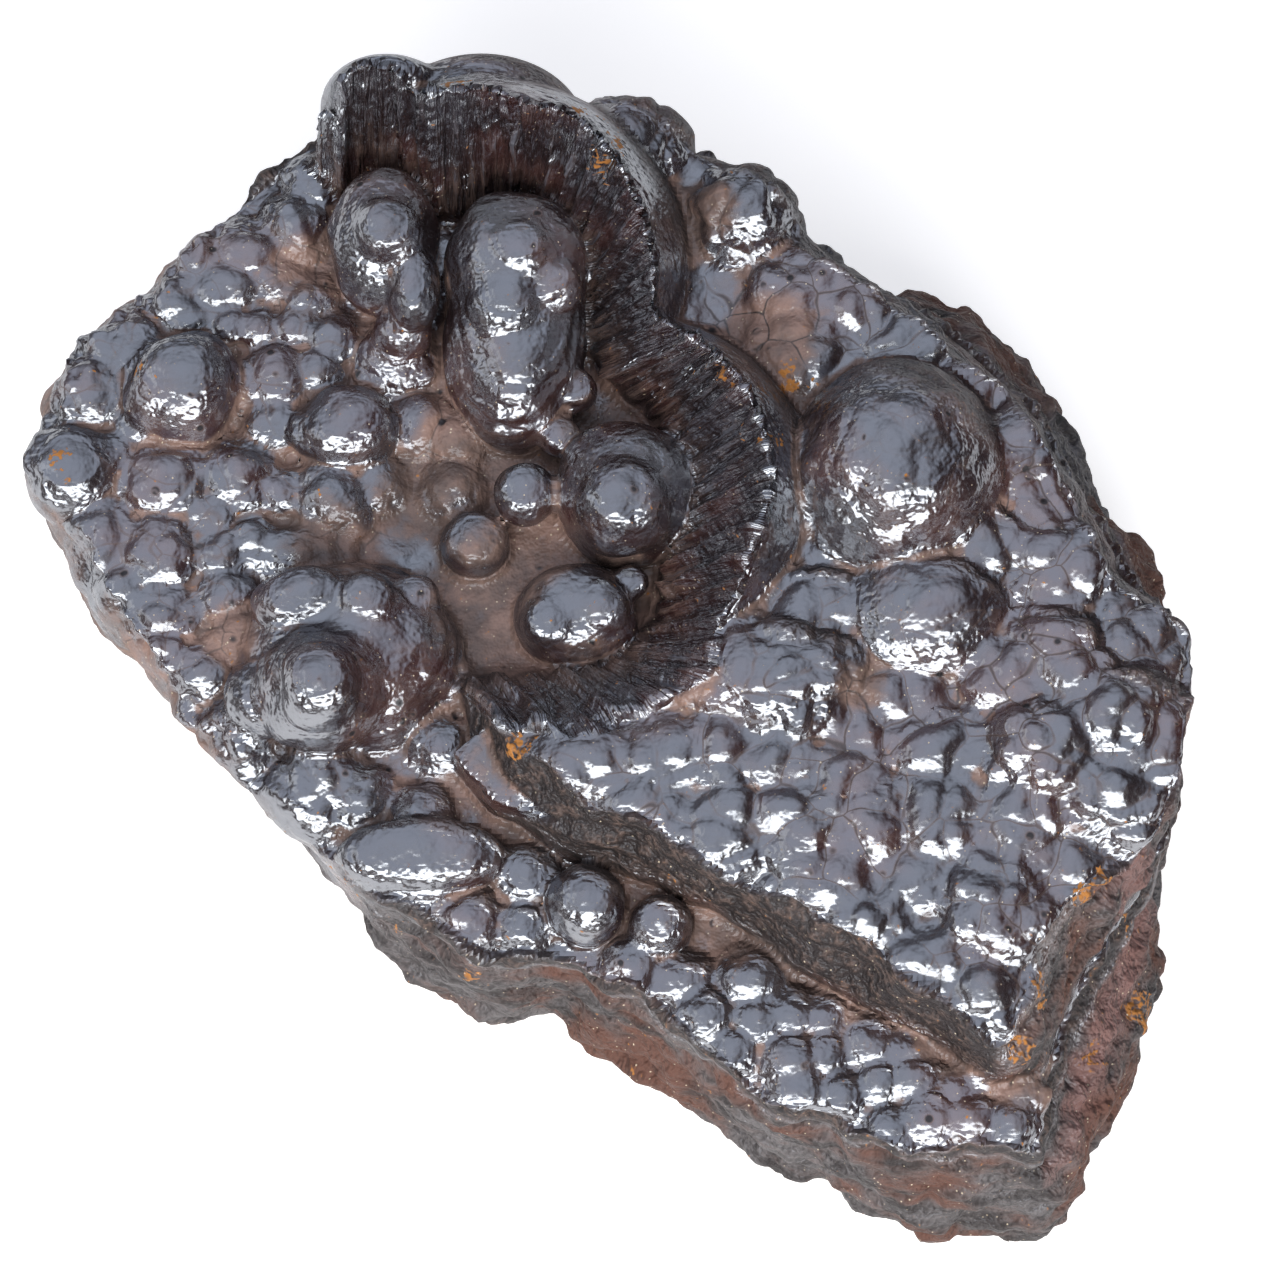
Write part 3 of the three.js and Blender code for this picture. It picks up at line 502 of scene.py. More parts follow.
def surfaceOf(volume):  # surface nets: one vertex per mixed cell, one face per crossed edge
    inside = volume < 0
    count = np.zeros([n - 1 for n in volume.shape], np.int8)
    corners = list(np.ndindex(2, 2, 2))
    nx, ny, nz = volume.shape
    for i, j, k in corners:
        count += inside[i:nx - 1 + i, j:ny - 1 + j, k:nz - 1 + k]
    cells = np.argwhere((count > 0) & (count < 8))
    number = np.full(count.shape, -1, np.int64)
    number[tuple(cells.T)] = np.arange(len(cells))
    values = {c: volume[cells[:, 0] + c[0], cells[:, 1] + c[1], cells[:, 2] + c[2]] for c in corners}
    total = np.zeros((len(cells), 3))
    crossings = np.zeros(len(cells))
    for a in corners:
        for axis in range(3):
            if a[axis]:
                continue
            b = tuple(a[n] + (n == axis) for n in range(3))
            mixed = (values[a] < 0) != (values[b] < 0)
            share = values[a] / np.where(mixed, values[a] - values[b], 1.0)
            place = np.array(a, float)[None, :] + share[:, None] * (np.array(b) - np.array(a))
            total += np.where(mixed[:, None], place, 0.0)
            crossings += mixed
    points = (cells + total / crossings[:, None]) * step + np.array([axis[0] for axis in gridAxes])
    faces = []
    for axis in range(3):
        u, v = [n for n in range(3) if n != axis]
        low = [slice(1, n - 1) for n in volume.shape]
        high = list(low)
        low[axis], high[axis] = slice(0, volume.shape[axis] - 1), slice(1, volume.shape[axis])
        startIn, endIn = inside[tuple(low)], inside[tuple(high)]
        for flip, crossed in ((False, startIn & ~endIn), (True, ~startIn & endIn)):
            edge = np.argwhere(crossed)
            edge[:, u] += 1
            edge[:, v] += 1
            ring = []
            for du, dv in ((0, 0), (1, 0), (1, 1), (0, 1)):
                cell = edge.copy()
                cell[:, u] -= du
                cell[:, v] -= dv
                ring.append(number[tuple(cell.T)])
            face = np.stack(ring, 1)
            if flip != (axis == 1):
                face = face[:, ::-1]
            faces.append(face)
    return points, np.concatenate(faces)


def sampled(volume, points):
    place = (points - np.array([axis[0] for axis in gridAxes])) / step
    base = np.clip(np.floor(place).astype(int), 0, np.array(volume.shape) - 2)
    share = place - base
    total = 0.0
    for corner in np.ndindex(2, 2, 2):
        weight = np.prod(np.where(corner, share, 1.0 - share), axis=1)
        total = total + weight * volume[tuple((base + corner).T)]
    return total


def blurred(volume, reach):  # box blur along each axis
    width = max(1, int(round(reach / step)))
    result = volume
    for axis in range(3):
        padding = [(0, 0)] * 3
        padding[axis] = (width + 1, width)
        running = np.cumsum(np.pad(result, padding, mode="edge"), axis=axis, dtype=np.float32)
        size = result.shape[axis]
        ahead = np.take(running, np.arange(2 * width + 1, 2 * width + 1 + size), axis)
        behind = np.take(running, np.arange(0, size), axis)
        result = (ahead - behind) / (2 * width + 1)
    return result


def vertexNormals(points, faces):
    a, b, c, d = (points[faces[:, n]] for n in range(4))
    flat = np.cross(c - a, d - b)
    normals = np.zeros_like(points)
    for n in range(4):
        np.add.at(normals, faces[:, n], flat)
    return normals / (np.linalg.norm(normals, axis=1)[:, None] + 1e-12)


def wallStations(points):  # how far along the rim each point of the broken wall lies, counted in stations
    rim = np.array(rimStations)
    up = ((points[:, 2] - block["craterFloor"])[:, None] / (rim[:, 2] - block["craterFloor"])[None, :])
    x = mix(rim[None, :, 3], rim[None, :, 0], up)
    y = mix(rim[None, :, 4], rim[None, :, 1], up)
    nearest = np.full(len(points), 1e9)
    station = np.zeros(len(points))
    for i in range(len(rim) - 1):
        ex, ey = x[:, i + 1] - x[:, i], y[:, i + 1] - y[:, i]
        dx, dy = points[:, 0] - x[:, i], points[:, 1] - y[:, i]
        along = np.clip((dx * ex + dy * ey) / (ex * ex + ey * ey + 1e-9), 0.0, 1.0)
        away = (dx - along * ex) ** 2 + (dy - along * ey) ** 2
        closer = away < nearest
        nearest = np.where(closer, away, nearest)
        station = np.where(closer, i + along, station)
    return station


def ridges(place, seed):  # uneven sharp ridges along one coordinate, 0 to 1
    cell = np.floor(place)
    inCell = place - cell
    height = mix(randomOf(cell, seed), randomOf(cell + 1, seed), smoothStep(0.0, 1.0, inCell))
    return height * 0.55 + 0.45 * np.abs(2.0 * inCell - 1.0)


def noiseAt(points, size, seed):  # smooth noise between -1 and 1
    p = points / size
    base = np.floor(p)
    share = p - base
    share = share * share * (3.0 - 2.0 * share)
    total = np.zeros(len(p))
    for corner in np.ndindex(2, 2, 2):
        weight = np.prod(np.where(corner, share, 1.0 - share), axis=1)
        total += weight * randomOf(*(base + corner).T, seed)
    return 2.0 * total - 1.0


class Shade:  # a shader socket that takes part in arithmetic
    def __init__(self, tree, socket=None):
        self.tree = tree
        self.socket = socket

    def node(self, kind, settings=None, inputs=None, output=0):
        made = self.tree.nodes.new(kind)
        for name, value in (settings or {}).items():
            setattr(made, name, value)
        for key, value in (inputs or {}).items():
            if isinstance(value, Shade):
                self.tree.links.new(value.socket, made.inputs[key])
            else:
                made.inputs[key].default_value = value
        return Shade(self.tree, made.outputs[output]) if made.outputs else made

    def math(self, operation, *values):
        return self.node("ShaderNodeMath", {"operation": operation}, dict(enumerate(values)))

    def vector(self, operation, *values, output=0):
        return self.node("ShaderNodeVectorMath", {"operation": operation}, dict(enumerate(values)), output)

    def __add__(self, other):
        return self.math("ADD", self, other)

    def __sub__(self, other):
        return self.math("SUBTRACT", self, other)

    def __rsub__(self, other):
        return self.math("SUBTRACT", other, self)

    def __mul__(self, other):
        return self.math("MULTIPLY", self, other)

    __radd__ = __add__
    __rmul__ = __mul__

    def orMore(self, other):
        return self.math("MAXIMUM", self, other)

    def fade(self, low, high):  # 0 below low, 1 above high, smooth between
        settings = {"interpolation_type": "SMOOTHSTEP", "clamp": True}
        return self.node("ShaderNodeMapRange", settings, {"Value": self, "From Min": low, "From Max": high})

    def mixed(self, first, second):  # this value chooses between two colours
        inputs = {0: self, 6: first, 7: second}
        return self.node("ShaderNodeMix", {"data_type": "RGBA"}, inputs, 2)

    def mask(self, name):
        return self.node("ShaderNodeAttribute", {"attribute_name": name}, output=2)


def shaderOf(owner):  # the emptied node tree of a material or a world
    owner.use_nodes = True
    owner.node_tree.nodes.clear()
    return Shade(owner.node_tree)


cells = {
    "size": 3.9,  # packed cells of the crust, in mm
    "bend": 1.8,  # how far noise bends their borders, in mm
    "bendSize": 4.5,
}


def crustCells(start, place):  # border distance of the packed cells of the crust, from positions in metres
    perMetre = 1.0 / layout["metres"]
    wave = {"Vector": place, "Scale": perMetre / cells["bendSize"], "Detail": 1.0}
    bend = start.node("ShaderNodeTexNoise", None, wave, 1)
    bend = start.vector("SUBTRACT", bend, (0.5, 0.5, 0.5))
    reach = 2.0 * cells["bend"] * layout["metres"]
    bend = start.node("ShaderNodeVectorMath", {"operation": "SCALE"}, {0: bend, "Scale": reach})
    bent = start.vector("ADD", place, bend)
    feature = {"feature": "DISTANCE_TO_EDGE"}
    return start.node("ShaderNodeTexVoronoi", feature, {"Vector": bent, "Scale": perMetre / cells["size"]})


def cellBorders(places):  # reads the same texture at the mesh points, through a throwaway node tree
    tree = bpy.data.node_groups.new("cell_reader", "GeometryNodeTree")
    tree.interface.new_socket("Geometry", in_out="INPUT", socket_type="NodeSocketGeometry")
    tree.interface.new_socket("Geometry", in_out="OUTPUT", socket_type="NodeSocketGeometry")
    start = Shade(tree)
    shape = start.node("NodeGroupInput")
    border = crustCells(start, start.node("GeometryNodeInputPosition"))
    stored = {"Geometry": shape, "Name": "border", "Value": border}
    stored = start.node("GeometryNodeStoreNamedAttribute", None, stored)
    start.node("NodeGroupOutput", None, {0: stored})
    mesh = bpy.data.meshes.new("cell_reader")
    mesh.from_pydata(places.tolist(), [], [])
    carrier = newObject("cell_reader", mesh)
    carrier.modifiers.new("cell_reader", "NODES").node_group = tree
    ready = carrier.evaluated_get(bpy.context.evaluated_depsgraph_get())
    values = np.zeros(len(places), np.float32)
    ready.data.attributes["border"].data.foreach_get("value", values)
    bpy.data.objects.remove(carrier)
    bpy.data.meshes.remove(mesh)
    bpy.data.node_groups.remove(tree)
    return values


relief = {
    "pillowHeight": 0.54,
    "pillowReach": 0.38,  # share of a cell over which a pillow rises from its border
    "hammerCell": 2.0,  # dents on the slopes of the lumps
    "hammerScatter": 0.72,
    "hammerHeight": 0.65,
    "lumpiness": 0.32,
    "lumpSize": 3.2,
    "ringSpacing": 0.9,  # growth lines outside the rims
    "ringHeight": 0.03,
    "ringReach": 3.2,
    "rimJag": 0.4,
    "rimJagSize": 0.9,
    "terraceSpacing": 1.3,
    "terraceHeight": 0.1,
    "fluteDepth": 3.0,
    "flutesPerStation": 1.3,
    "fractureGrain": 0.12,
    "matrixGrain": 0.68,
    "matrixLayer": 0.5,
}


def onDomes(points, rows):  # 1 on the skin of the domes, 0 away from it
    share = np.zeros(len(points))
    for cx, cy, cz, rx, ry, rz in rows:
        scaled = np.linalg.norm((points - (cx, cy, cz)) / (rx, ry, rz), axis=1)
        share = np.maximum(share, smoothStep(0.9, 0.4, np.abs(scaled - 1.0) * min(rx, ry, rz)))
    return share


def reliefOf(points, masks, borders):
    height = np.zeros(len(points))
    plate, shelf, wall = masks["plate"], masks["shelf"], masks["wall"]
    quiet = smoothStep(0.5, 3.5, masks["fromRim"])  # the shells beside the rims are smooth
    smooth = onDomes(points, shellDomes + upperDomes[:2])
    bigDomes = onDomes(points, upperDomes[4:])
    lowDomes = onDomes(points, lowerDomes)
    leftShelf = shelf * (1.0 - lowDomes) * smoothStep(-10.0, -16.0, points[:, 0])
    masks["celled"] = plate * quiet * (1.0 - smooth) * (1.0 - 0.6 * bigDomes) + 0.6 * leftShelf
    rise = 1.0 - (1.0 - np.minimum(borders / relief["pillowReach"], 1.0)) ** 2
    height += masks["celled"] * relief["pillowHeight"] * (rise - 0.6)
    dent, own = cellPattern(points, relief["hammerCell"], 13)
    hammered = plate * (1.0 - smooth) * quiet + 0.7 * shelf * (1.0 - 0.8 * lowDomes)
    hammered *= mix(0.3, 1.0, masks["steep"]) * (1.0 - 0.65 * masks["cliff"]) * (1.0 - 0.5 * bigDomes)
    height -= hammered * relief["hammerHeight"] * (dent ** 2 - 0.15) * mix(0.5, 1.2, own)
    leftSide = shelf * masks["cliff"] * smoothStep(-22.0, -30.0, points[:, 0])
    lumpy = plate * (1.0 - smooth) + shelf + 1.5 * leftSide
    height += lumpy * relief["lumpiness"] * noiseAt(points, relief["lumpSize"], 39)
    near = np.exp(-np.maximum(masks["fromRim"], 0.0) / relief["ringReach"])
    turns = masks["fromRim"] + 0.25 * noiseAt(points, 3.0, 32)
    height += plate * near * relief["ringHeight"] * np.sin(turns * 2 * math.pi / relief["ringSpacing"])
    rim = plate * smoothStep(1.4, 0.2, np.abs(masks["fromRim"]))
    edge = (shelf + masks["side"]) * smoothStep(1.3, 0.2, np.abs(masks["fromEdge"]))
    height += (rim + 1.4 * edge) * relief["rimJag"] * noiseAt(points, relief["rimJagSize"], 40)
    terraced = onDomes(points, lowerDomes[3:4] + lowerDomes[19:20]) * masks["steep"]
    level = (points[:, 2] + 0.4 * noiseAt(points, 4.0, 31)) * 2 * math.pi / relief["terraceSpacing"]
    height += terraced * relief["terraceHeight"] * np.sin(level)
    place = masks["station"] * relief["flutesPerStation"] + 0.3 * noiseAt(points, 3.4, 33)
    flute = 0.65 * ridges(place, 5) + 0.35 * ridges(place * 2.3 + 7.0, 6) - 0.5
    height += wall * (relief["fluteDepth"] * flute + relief["fractureGrain"] * noiseAt(points, 1.3, 34))
    rough = noiseAt(points, 2.6, 35) + 0.55 * noiseAt(points, 1.2, 36) + 0.3 * noiseAt(points, 0.8, 37)
    layer = noiseAt(points * (0.18, 0.18, 1.0), 1.3, 38)
    broken = np.maximum(masks["matrix"], 0.6 * masks["breakageAndBackShade"])
    height += broken * (relief["matrixGrain"] * rough + relief["matrixLayer"] * layer)
    return height


def masksOf(points, normals, volumes):
    whole = volumes["whole"]
    x, y, z = points.T
    near = {name: sampled(volumes[name], points) for name in volumes}
    convexFine = sampled(blurred(whole, 0.8), points)
    convexWide = sampled(blurred(whole, 2.4), points)
    fromCut = near["broken"]
    inUpper = smoothStep(0.7, 0.4, np.abs(near["upper"])) * smoothStep(19.5, 21.0, z)
    wall = smoothStep(0.8, 0.4, np.abs(fromCut)) * inUpper
    leftEdge = smoothStep(-19.0, -26.0, x) * smoothStep(5.0, 10.0, z) * smoothStep(40.0, 34.0, y)
    onSide = smoothStep(1.2, 0.7, np.abs(near["side"]))
    lowerSide = smoothStep(-0.5, 0.1, near["blockGap"]) * onSide * (1.0 - leftEdge)
    upperSide = smoothStep(-0.5, 0.1, near["crustGap"]) * inUpper * (1.0 - wall)
    upperSide *= smoothStep(0.75, 0.5, normals[:, 2])
    outer = smoothStep(-5.0, -2.5, near["side"]) * smoothStep(24.0, 12.0, y + 0.6 * (x - 20.0))
    outer = np.maximum(outer, smoothStep(22.0, 19.5, z))
    backShell = smoothStep(8.0, 20.0, y + 0.5 * x) * smoothStep(20.0, 24.0, z)
    matrix = np.maximum(lowerSide * (1.0 - inUpper), upperSide * outer * (1.0 - backShell))
    breakageAndBackShade = upperSide * (1.0 - outer) * (1.0 - backShell)
    plate = inUpper * (1.0 - wall) * (1.0 - matrix) * (1.0 - breakageAndBackShade)
    shelf = (1.0 - inUpper) * (1.0 - matrix)
    stoneEnd = breakageAndBackShade * smoothStep(0.0, 0.4, normals[:, 0])  # the end of the upper crust at the right
    matrix, breakageAndBackShade = np.maximum(matrix, stoneEnd), breakageAndBackShade - stoneEnd
    rind = lowerSide * (1.0 - inUpper) * smoothStep(2.8, 1.4, near["blockGap"])
    hollow = smoothStep(-0.03, -0.22, convexFine) * 0.9 + smoothStep(-0.1, -0.8, convexWide) * 0.35
    return {
        "matrix": matrix * (1.0 - rind), "wall": wall, "breakageAndBackShade": np.maximum(breakageAndBackShade, rind),
        "plate": plate, "shelf": shelf,
        "side": np.maximum(lowerSide * (1.0 - inUpper), smoothStep(1.0, 0.5, z)),
        "hollow": np.clip(hollow, 0.0, 1.0), "ridge": smoothStep(0.12, 0.42, convexFine),
        "fromRim": fromCut, "fromEdge": near["blockGap"], "station": wallStations(points), "end": stoneEnd,
        "steep": smoothStep(0.97, 0.78, normals[:, 2]), "cliff": smoothStep(0.75, 0.35, normals[:, 2]),
        # sides that face the back, which stainsOf paints with shade
        "backward": smoothStep(0.3, 0.65, normals @ (0.5, 0.85, 0.0)) * smoothStep(2.0, 6.0, fromCut),
    }


# places of thick brown dust: x, y, reach
dustPatches = [
    [-14.0, 16.0, 6.5], [-11.0, 3.0, 9.0], [-3.0, -4.5, 6.0], [-18.0, 12.0, 5.5], [-17.5, 40.5, 3.5],
    [-28.0, 32.5, 4.0], [-24.5, 7.5, 6.0], [-32.0, 0.0, 4.0], [-11.0, -11.0, 5.0], [-1.5, -17.5, 4.5],
    [8.0, -23.5, 4.5], [17.0, -28.5, 4.5], [24.5, -32.5, 4.5], [30.0, -36.0, 4.0], [10.0, 22.0, 6.0],
    [17.0, -7.0, 3.0], [4.0, -6.5, 3.0], [5.0, 33.5, 4.0], [-3.0, 17.0, 4.5],
]

# spots of orange limonite: x, y, z
rustSpots = [
    [-14.5, 42.5, 32.0], [-4.5, 40.0, 32.0], [-2.5, 37.0, 32.0], [7.5, 18.0, 31.0], [12.5, 19.0, 28.0],
    [10.0, 13.0, 31.0], [-9.5, -11.0, 27.0], [33.5, -24.0, 28.0], [29.0, -35.0, 26.0], [-47.0, 14.5, 21.0],
    [-40.0, 22.0, 22.0], [-19.5, -23.0, 14.0], [-12.5, -25.0, 14.0], [-23.0, -19.0, 16.0], [37.0, -25.0, 14.0],
    [39.5, -28.5, 12.0], [30.5, -31.0, 26.0], [35.5, -22.5, 27.0], [36.0, -33.0, 16.0], [38.5, -22.0, 16.0],
]


def stainsOf(points, masks):  # how thick the dust lies, where shade is painted on the left edge and on the sides that face the back, and how orange the surface is
    x, y, z = points.T
    wander = noiseAt(points, 5.0, 51) + 0.5 * noiseAt(points, 1.6, 52)
    thick = np.zeros(len(points))
    for px, py, reach in dustPatches:
        thick = np.maximum(thick, smoothStep(1.25, 0.35, np.hypot(x - px, y - py) / reach))
    backPlate = masks["plate"] * smoothStep(-16.0, -8.0, y)
    thick = thick * mix(smoothStep(25.5, 22.0, z), 1.0, backPlate) * (1.0 - 0.6 * masks["cliff"])
    thick = thick * (0.85 - 0.55 * masks["ridge"] + 0.2 * wander)
    # painted shade: the steep left edge of the shelf takes the dust colour and matte finish, darker than what it
    # would reflect
    leftEdgeShade = masks["shelf"] * smoothStep(-22.0, -30.0, x) * masks["cliff"] * smoothStep(22.5, 19.5, z)
    masks["dustAndEdgeShade"] = masks["hollow"] * (0.85 + 0.3 * wander - 0.35 * masks["cliff"]) + thick
    masks["dustAndEdgeShade"] += (0.7 + 0.3 * wander) * leftEdgeShade
    # painted shade: sides that face the back take the dark colour and matte finish of the broken rock
    masks["breakageAndBackShade"] = np.maximum(masks["breakageAndBackShade"], 0.8 * masks["backward"])
    away = np.full(len(points), 9.0)
    for px, py, pz in rustSpots:
        away = np.minimum(away, np.sqrt((x - px) ** 2 + (y - py) ** 2 + 0.3 * (z - pz) ** 2))
    masks["rust"] = smoothStep(2.0, 0.5, away + 1.2 * noiseAt(points, 1.3, 53))
    fromBand = np.abs(x - 37.5 - 0.25 * (y + 27.0) + 1.2 * wander)  # a mauve band runs down the right side
    inBand = smoothStep(3.2, 0.8, fromBand) * smoothStep(-17.0, -21.0, y)
    masks["mauve"] = masks["matrix"] * inBand * smoothStep(10.0, 15.0, z)


def relaxed(points, faces):  # each point goes half way to the middle of its neighbours
    a, b = faces.ravel(), np.roll(faces, -1, 1).ravel()
    total, count = np.zeros_like(points), np.zeros(len(points))
    for start, end in ((a, b), (b, a)):
        np.add.at(total, start, points[end])
        np.add.at(count, start, 1.0)
    return mix(points, total / count[:, None], 0.5)


def keptInBox(points):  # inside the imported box, with the base cut flat on the floor
    dx, dy, dz = layout["datum"]
    low, high = (np.array(corner) / layout["metres"] for corner in cadBox)
    placed = points + (dx, dy, dz)
    placed[:, 2] = np.where(placed[:, 2] < layout["baseCut"], 0.0, placed[:, 2])
    return np.clip(placed, low, high)


def outlinesOf(faces):  # the closed outlines of a flat patch of faces
    pairs = set(zip(faces.ravel().tolist(), np.roll(faces, -1, 1).ravel().tolist()))
    onward = {start: end for start, end in pairs if (end, start) not in pairs}
    outlines = []
    while onward:
        start, place = onward.popitem()
        outline = [start]
        while place != start:
            outline.append(place)
            place = onward.pop(place, start)
        outlines.append(outline)
    return [outline for outline in outlines if len(outline) > 2]


# what the material reads from the mesh points
shaderMasks = ("matrix", "wall", "breakageAndBackShade", "end", "mauve", "celled", "steep", "cliff",
               "dustAndEdgeShade", "rust", "station")


def makeSkin(name, points, faces, masks, rest):
    inBase = (points[faces][:, :, 2] < 1e-7).all(1)
    outlines = outlinesOf(faces[inBase])  # one face for the flat underside, one over each pocket in it
    used = np.unique(faces[~inBase])
    local = np.zeros(len(points), int)
    local[used] = np.arange(len(used))
    mesh = bpy.data.meshes.new(name)
    base = [local[outline].tolist() for outline in outlines]
    mesh.from_pydata(points[used].tolist(), [], local[faces[~inBase]].tolist() + base)
    for mask in shaderMasks:
        layer = mesh.attributes.new(mask, "FLOAT", "POINT")
        layer.data.foreach_set("value", masks[mask][used].astype(np.float32))
    layer = mesh.attributes.new("rest", "FLOAT_VECTOR", "POINT")
    layer.data.foreach_set("vector", rest[used].astype(np.float32).ravel())
    mesh.polygons.foreach_set("use_smooth", [True] * len(mesh.polygons))
    mesh.update()
    triangles = sum(len(face.vertices) - 2 for face in mesh.polygons)
    report(f"{name} has {triangles} triangles")
    return newObject(name, mesh)


def makeSpecimen():
    volumes = sculptVolumes()
    points, faces = surfaceOf(volumes["whole"])
    report(f"surface with {len(points)} points and {len(faces)} faces")
    points = relaxed(points, faces)
    normals = vertexNormals(points, faces)
    masks = masksOf(points, normals, volumes)
    rest = (points + layout["datum"]) * layout["metres"]
    raised = points + normals * reliefOf(points, masks, cellBorders(rest))[:, None]
    report("relief")
    stainsOf(points, masks)
    placed = keptInBox(raised) * layout["metres"]
    onSide = masks["side"][faces].mean(1) > 0.5
    crust = makeSkin("hematite_skin", placed, faces[~onSide], masks, rest)
    sides = makeSkin("ironstone_skin", placed, faces[onSide], masks, rest)
    return [crust, sides]


def rgb(red, green, blue):
    return (red, green, blue, 1.0)


hematiteFinish = {
    "crustBody": rgb(0.018, 0.010, 0.010),
    "crustWarm": rgb(0.042, 0.012, 0.010),
    "crustRoughness": 0.26,
    "crustIndex": 3.0,
    "crustTint": rgb(0.88, 0.93, 1.0),
    "wallRoughness": 0.22,
    "breakRoughness": 0.42,
    # brown dust, also used for the painted shade on the steep left edge
    "dustAndEdgeShade": rgb(0.100, 0.066, 0.054),
    "dustPale": rgb(0.250, 0.155, 0.122),
    # near-black painted shade inside the small pits
    "paintedPitShade": rgb(0.010, 0.008, 0.009),
    # dark brown of the broken rock, also the painted shade on the sides that face the back
    "breakAndBackShadeSoil": rgb(0.018, 0.012, 0.011),
    "crackSoil": rgb(0.050, 0.034, 0.028),
    # grey of the glints painted on the wall's columns
    "paintedGlintGrey": rgb(0.130, 0.130, 0.155),
    "earth": rgb(0.022, 0.016, 0.015),
    "earthGrey": rgb(0.110, 0.098, 0.098),
    "earthRed": rgb(0.105, 0.046, 0.032),
    "earthOlive": rgb(0.115, 0.080, 0.056),
    "earthMauve": rgb(0.175, 0.090, 0.078),
    "limonite": rgb(0.360, 0.145, 0.032),
    "speck": rgb(0.60, 0.50, 0.36),
    "bump": {"Strength": 0.8, "Distance": 0.0003},
    "layering": (0.6, 0.6, 2.2),  # stretches the rock's noise along its layers
}

# textures per metre: scale, detail and roughness of each noise, and scale of the dots
hematiteTexture = {
    "broad": (110.0, 2.0, 0.55),
    "fine": (660.0, 2.0, 0.55),
    "grit": (2200.0, 1.0, 0.55),
    "streaks": (7.0, 3.0, 0.65),
    "layers": (260.0, 3.0, 0.65),
    "specks": 1400.0,
    "shadedPits": 450.0,
}


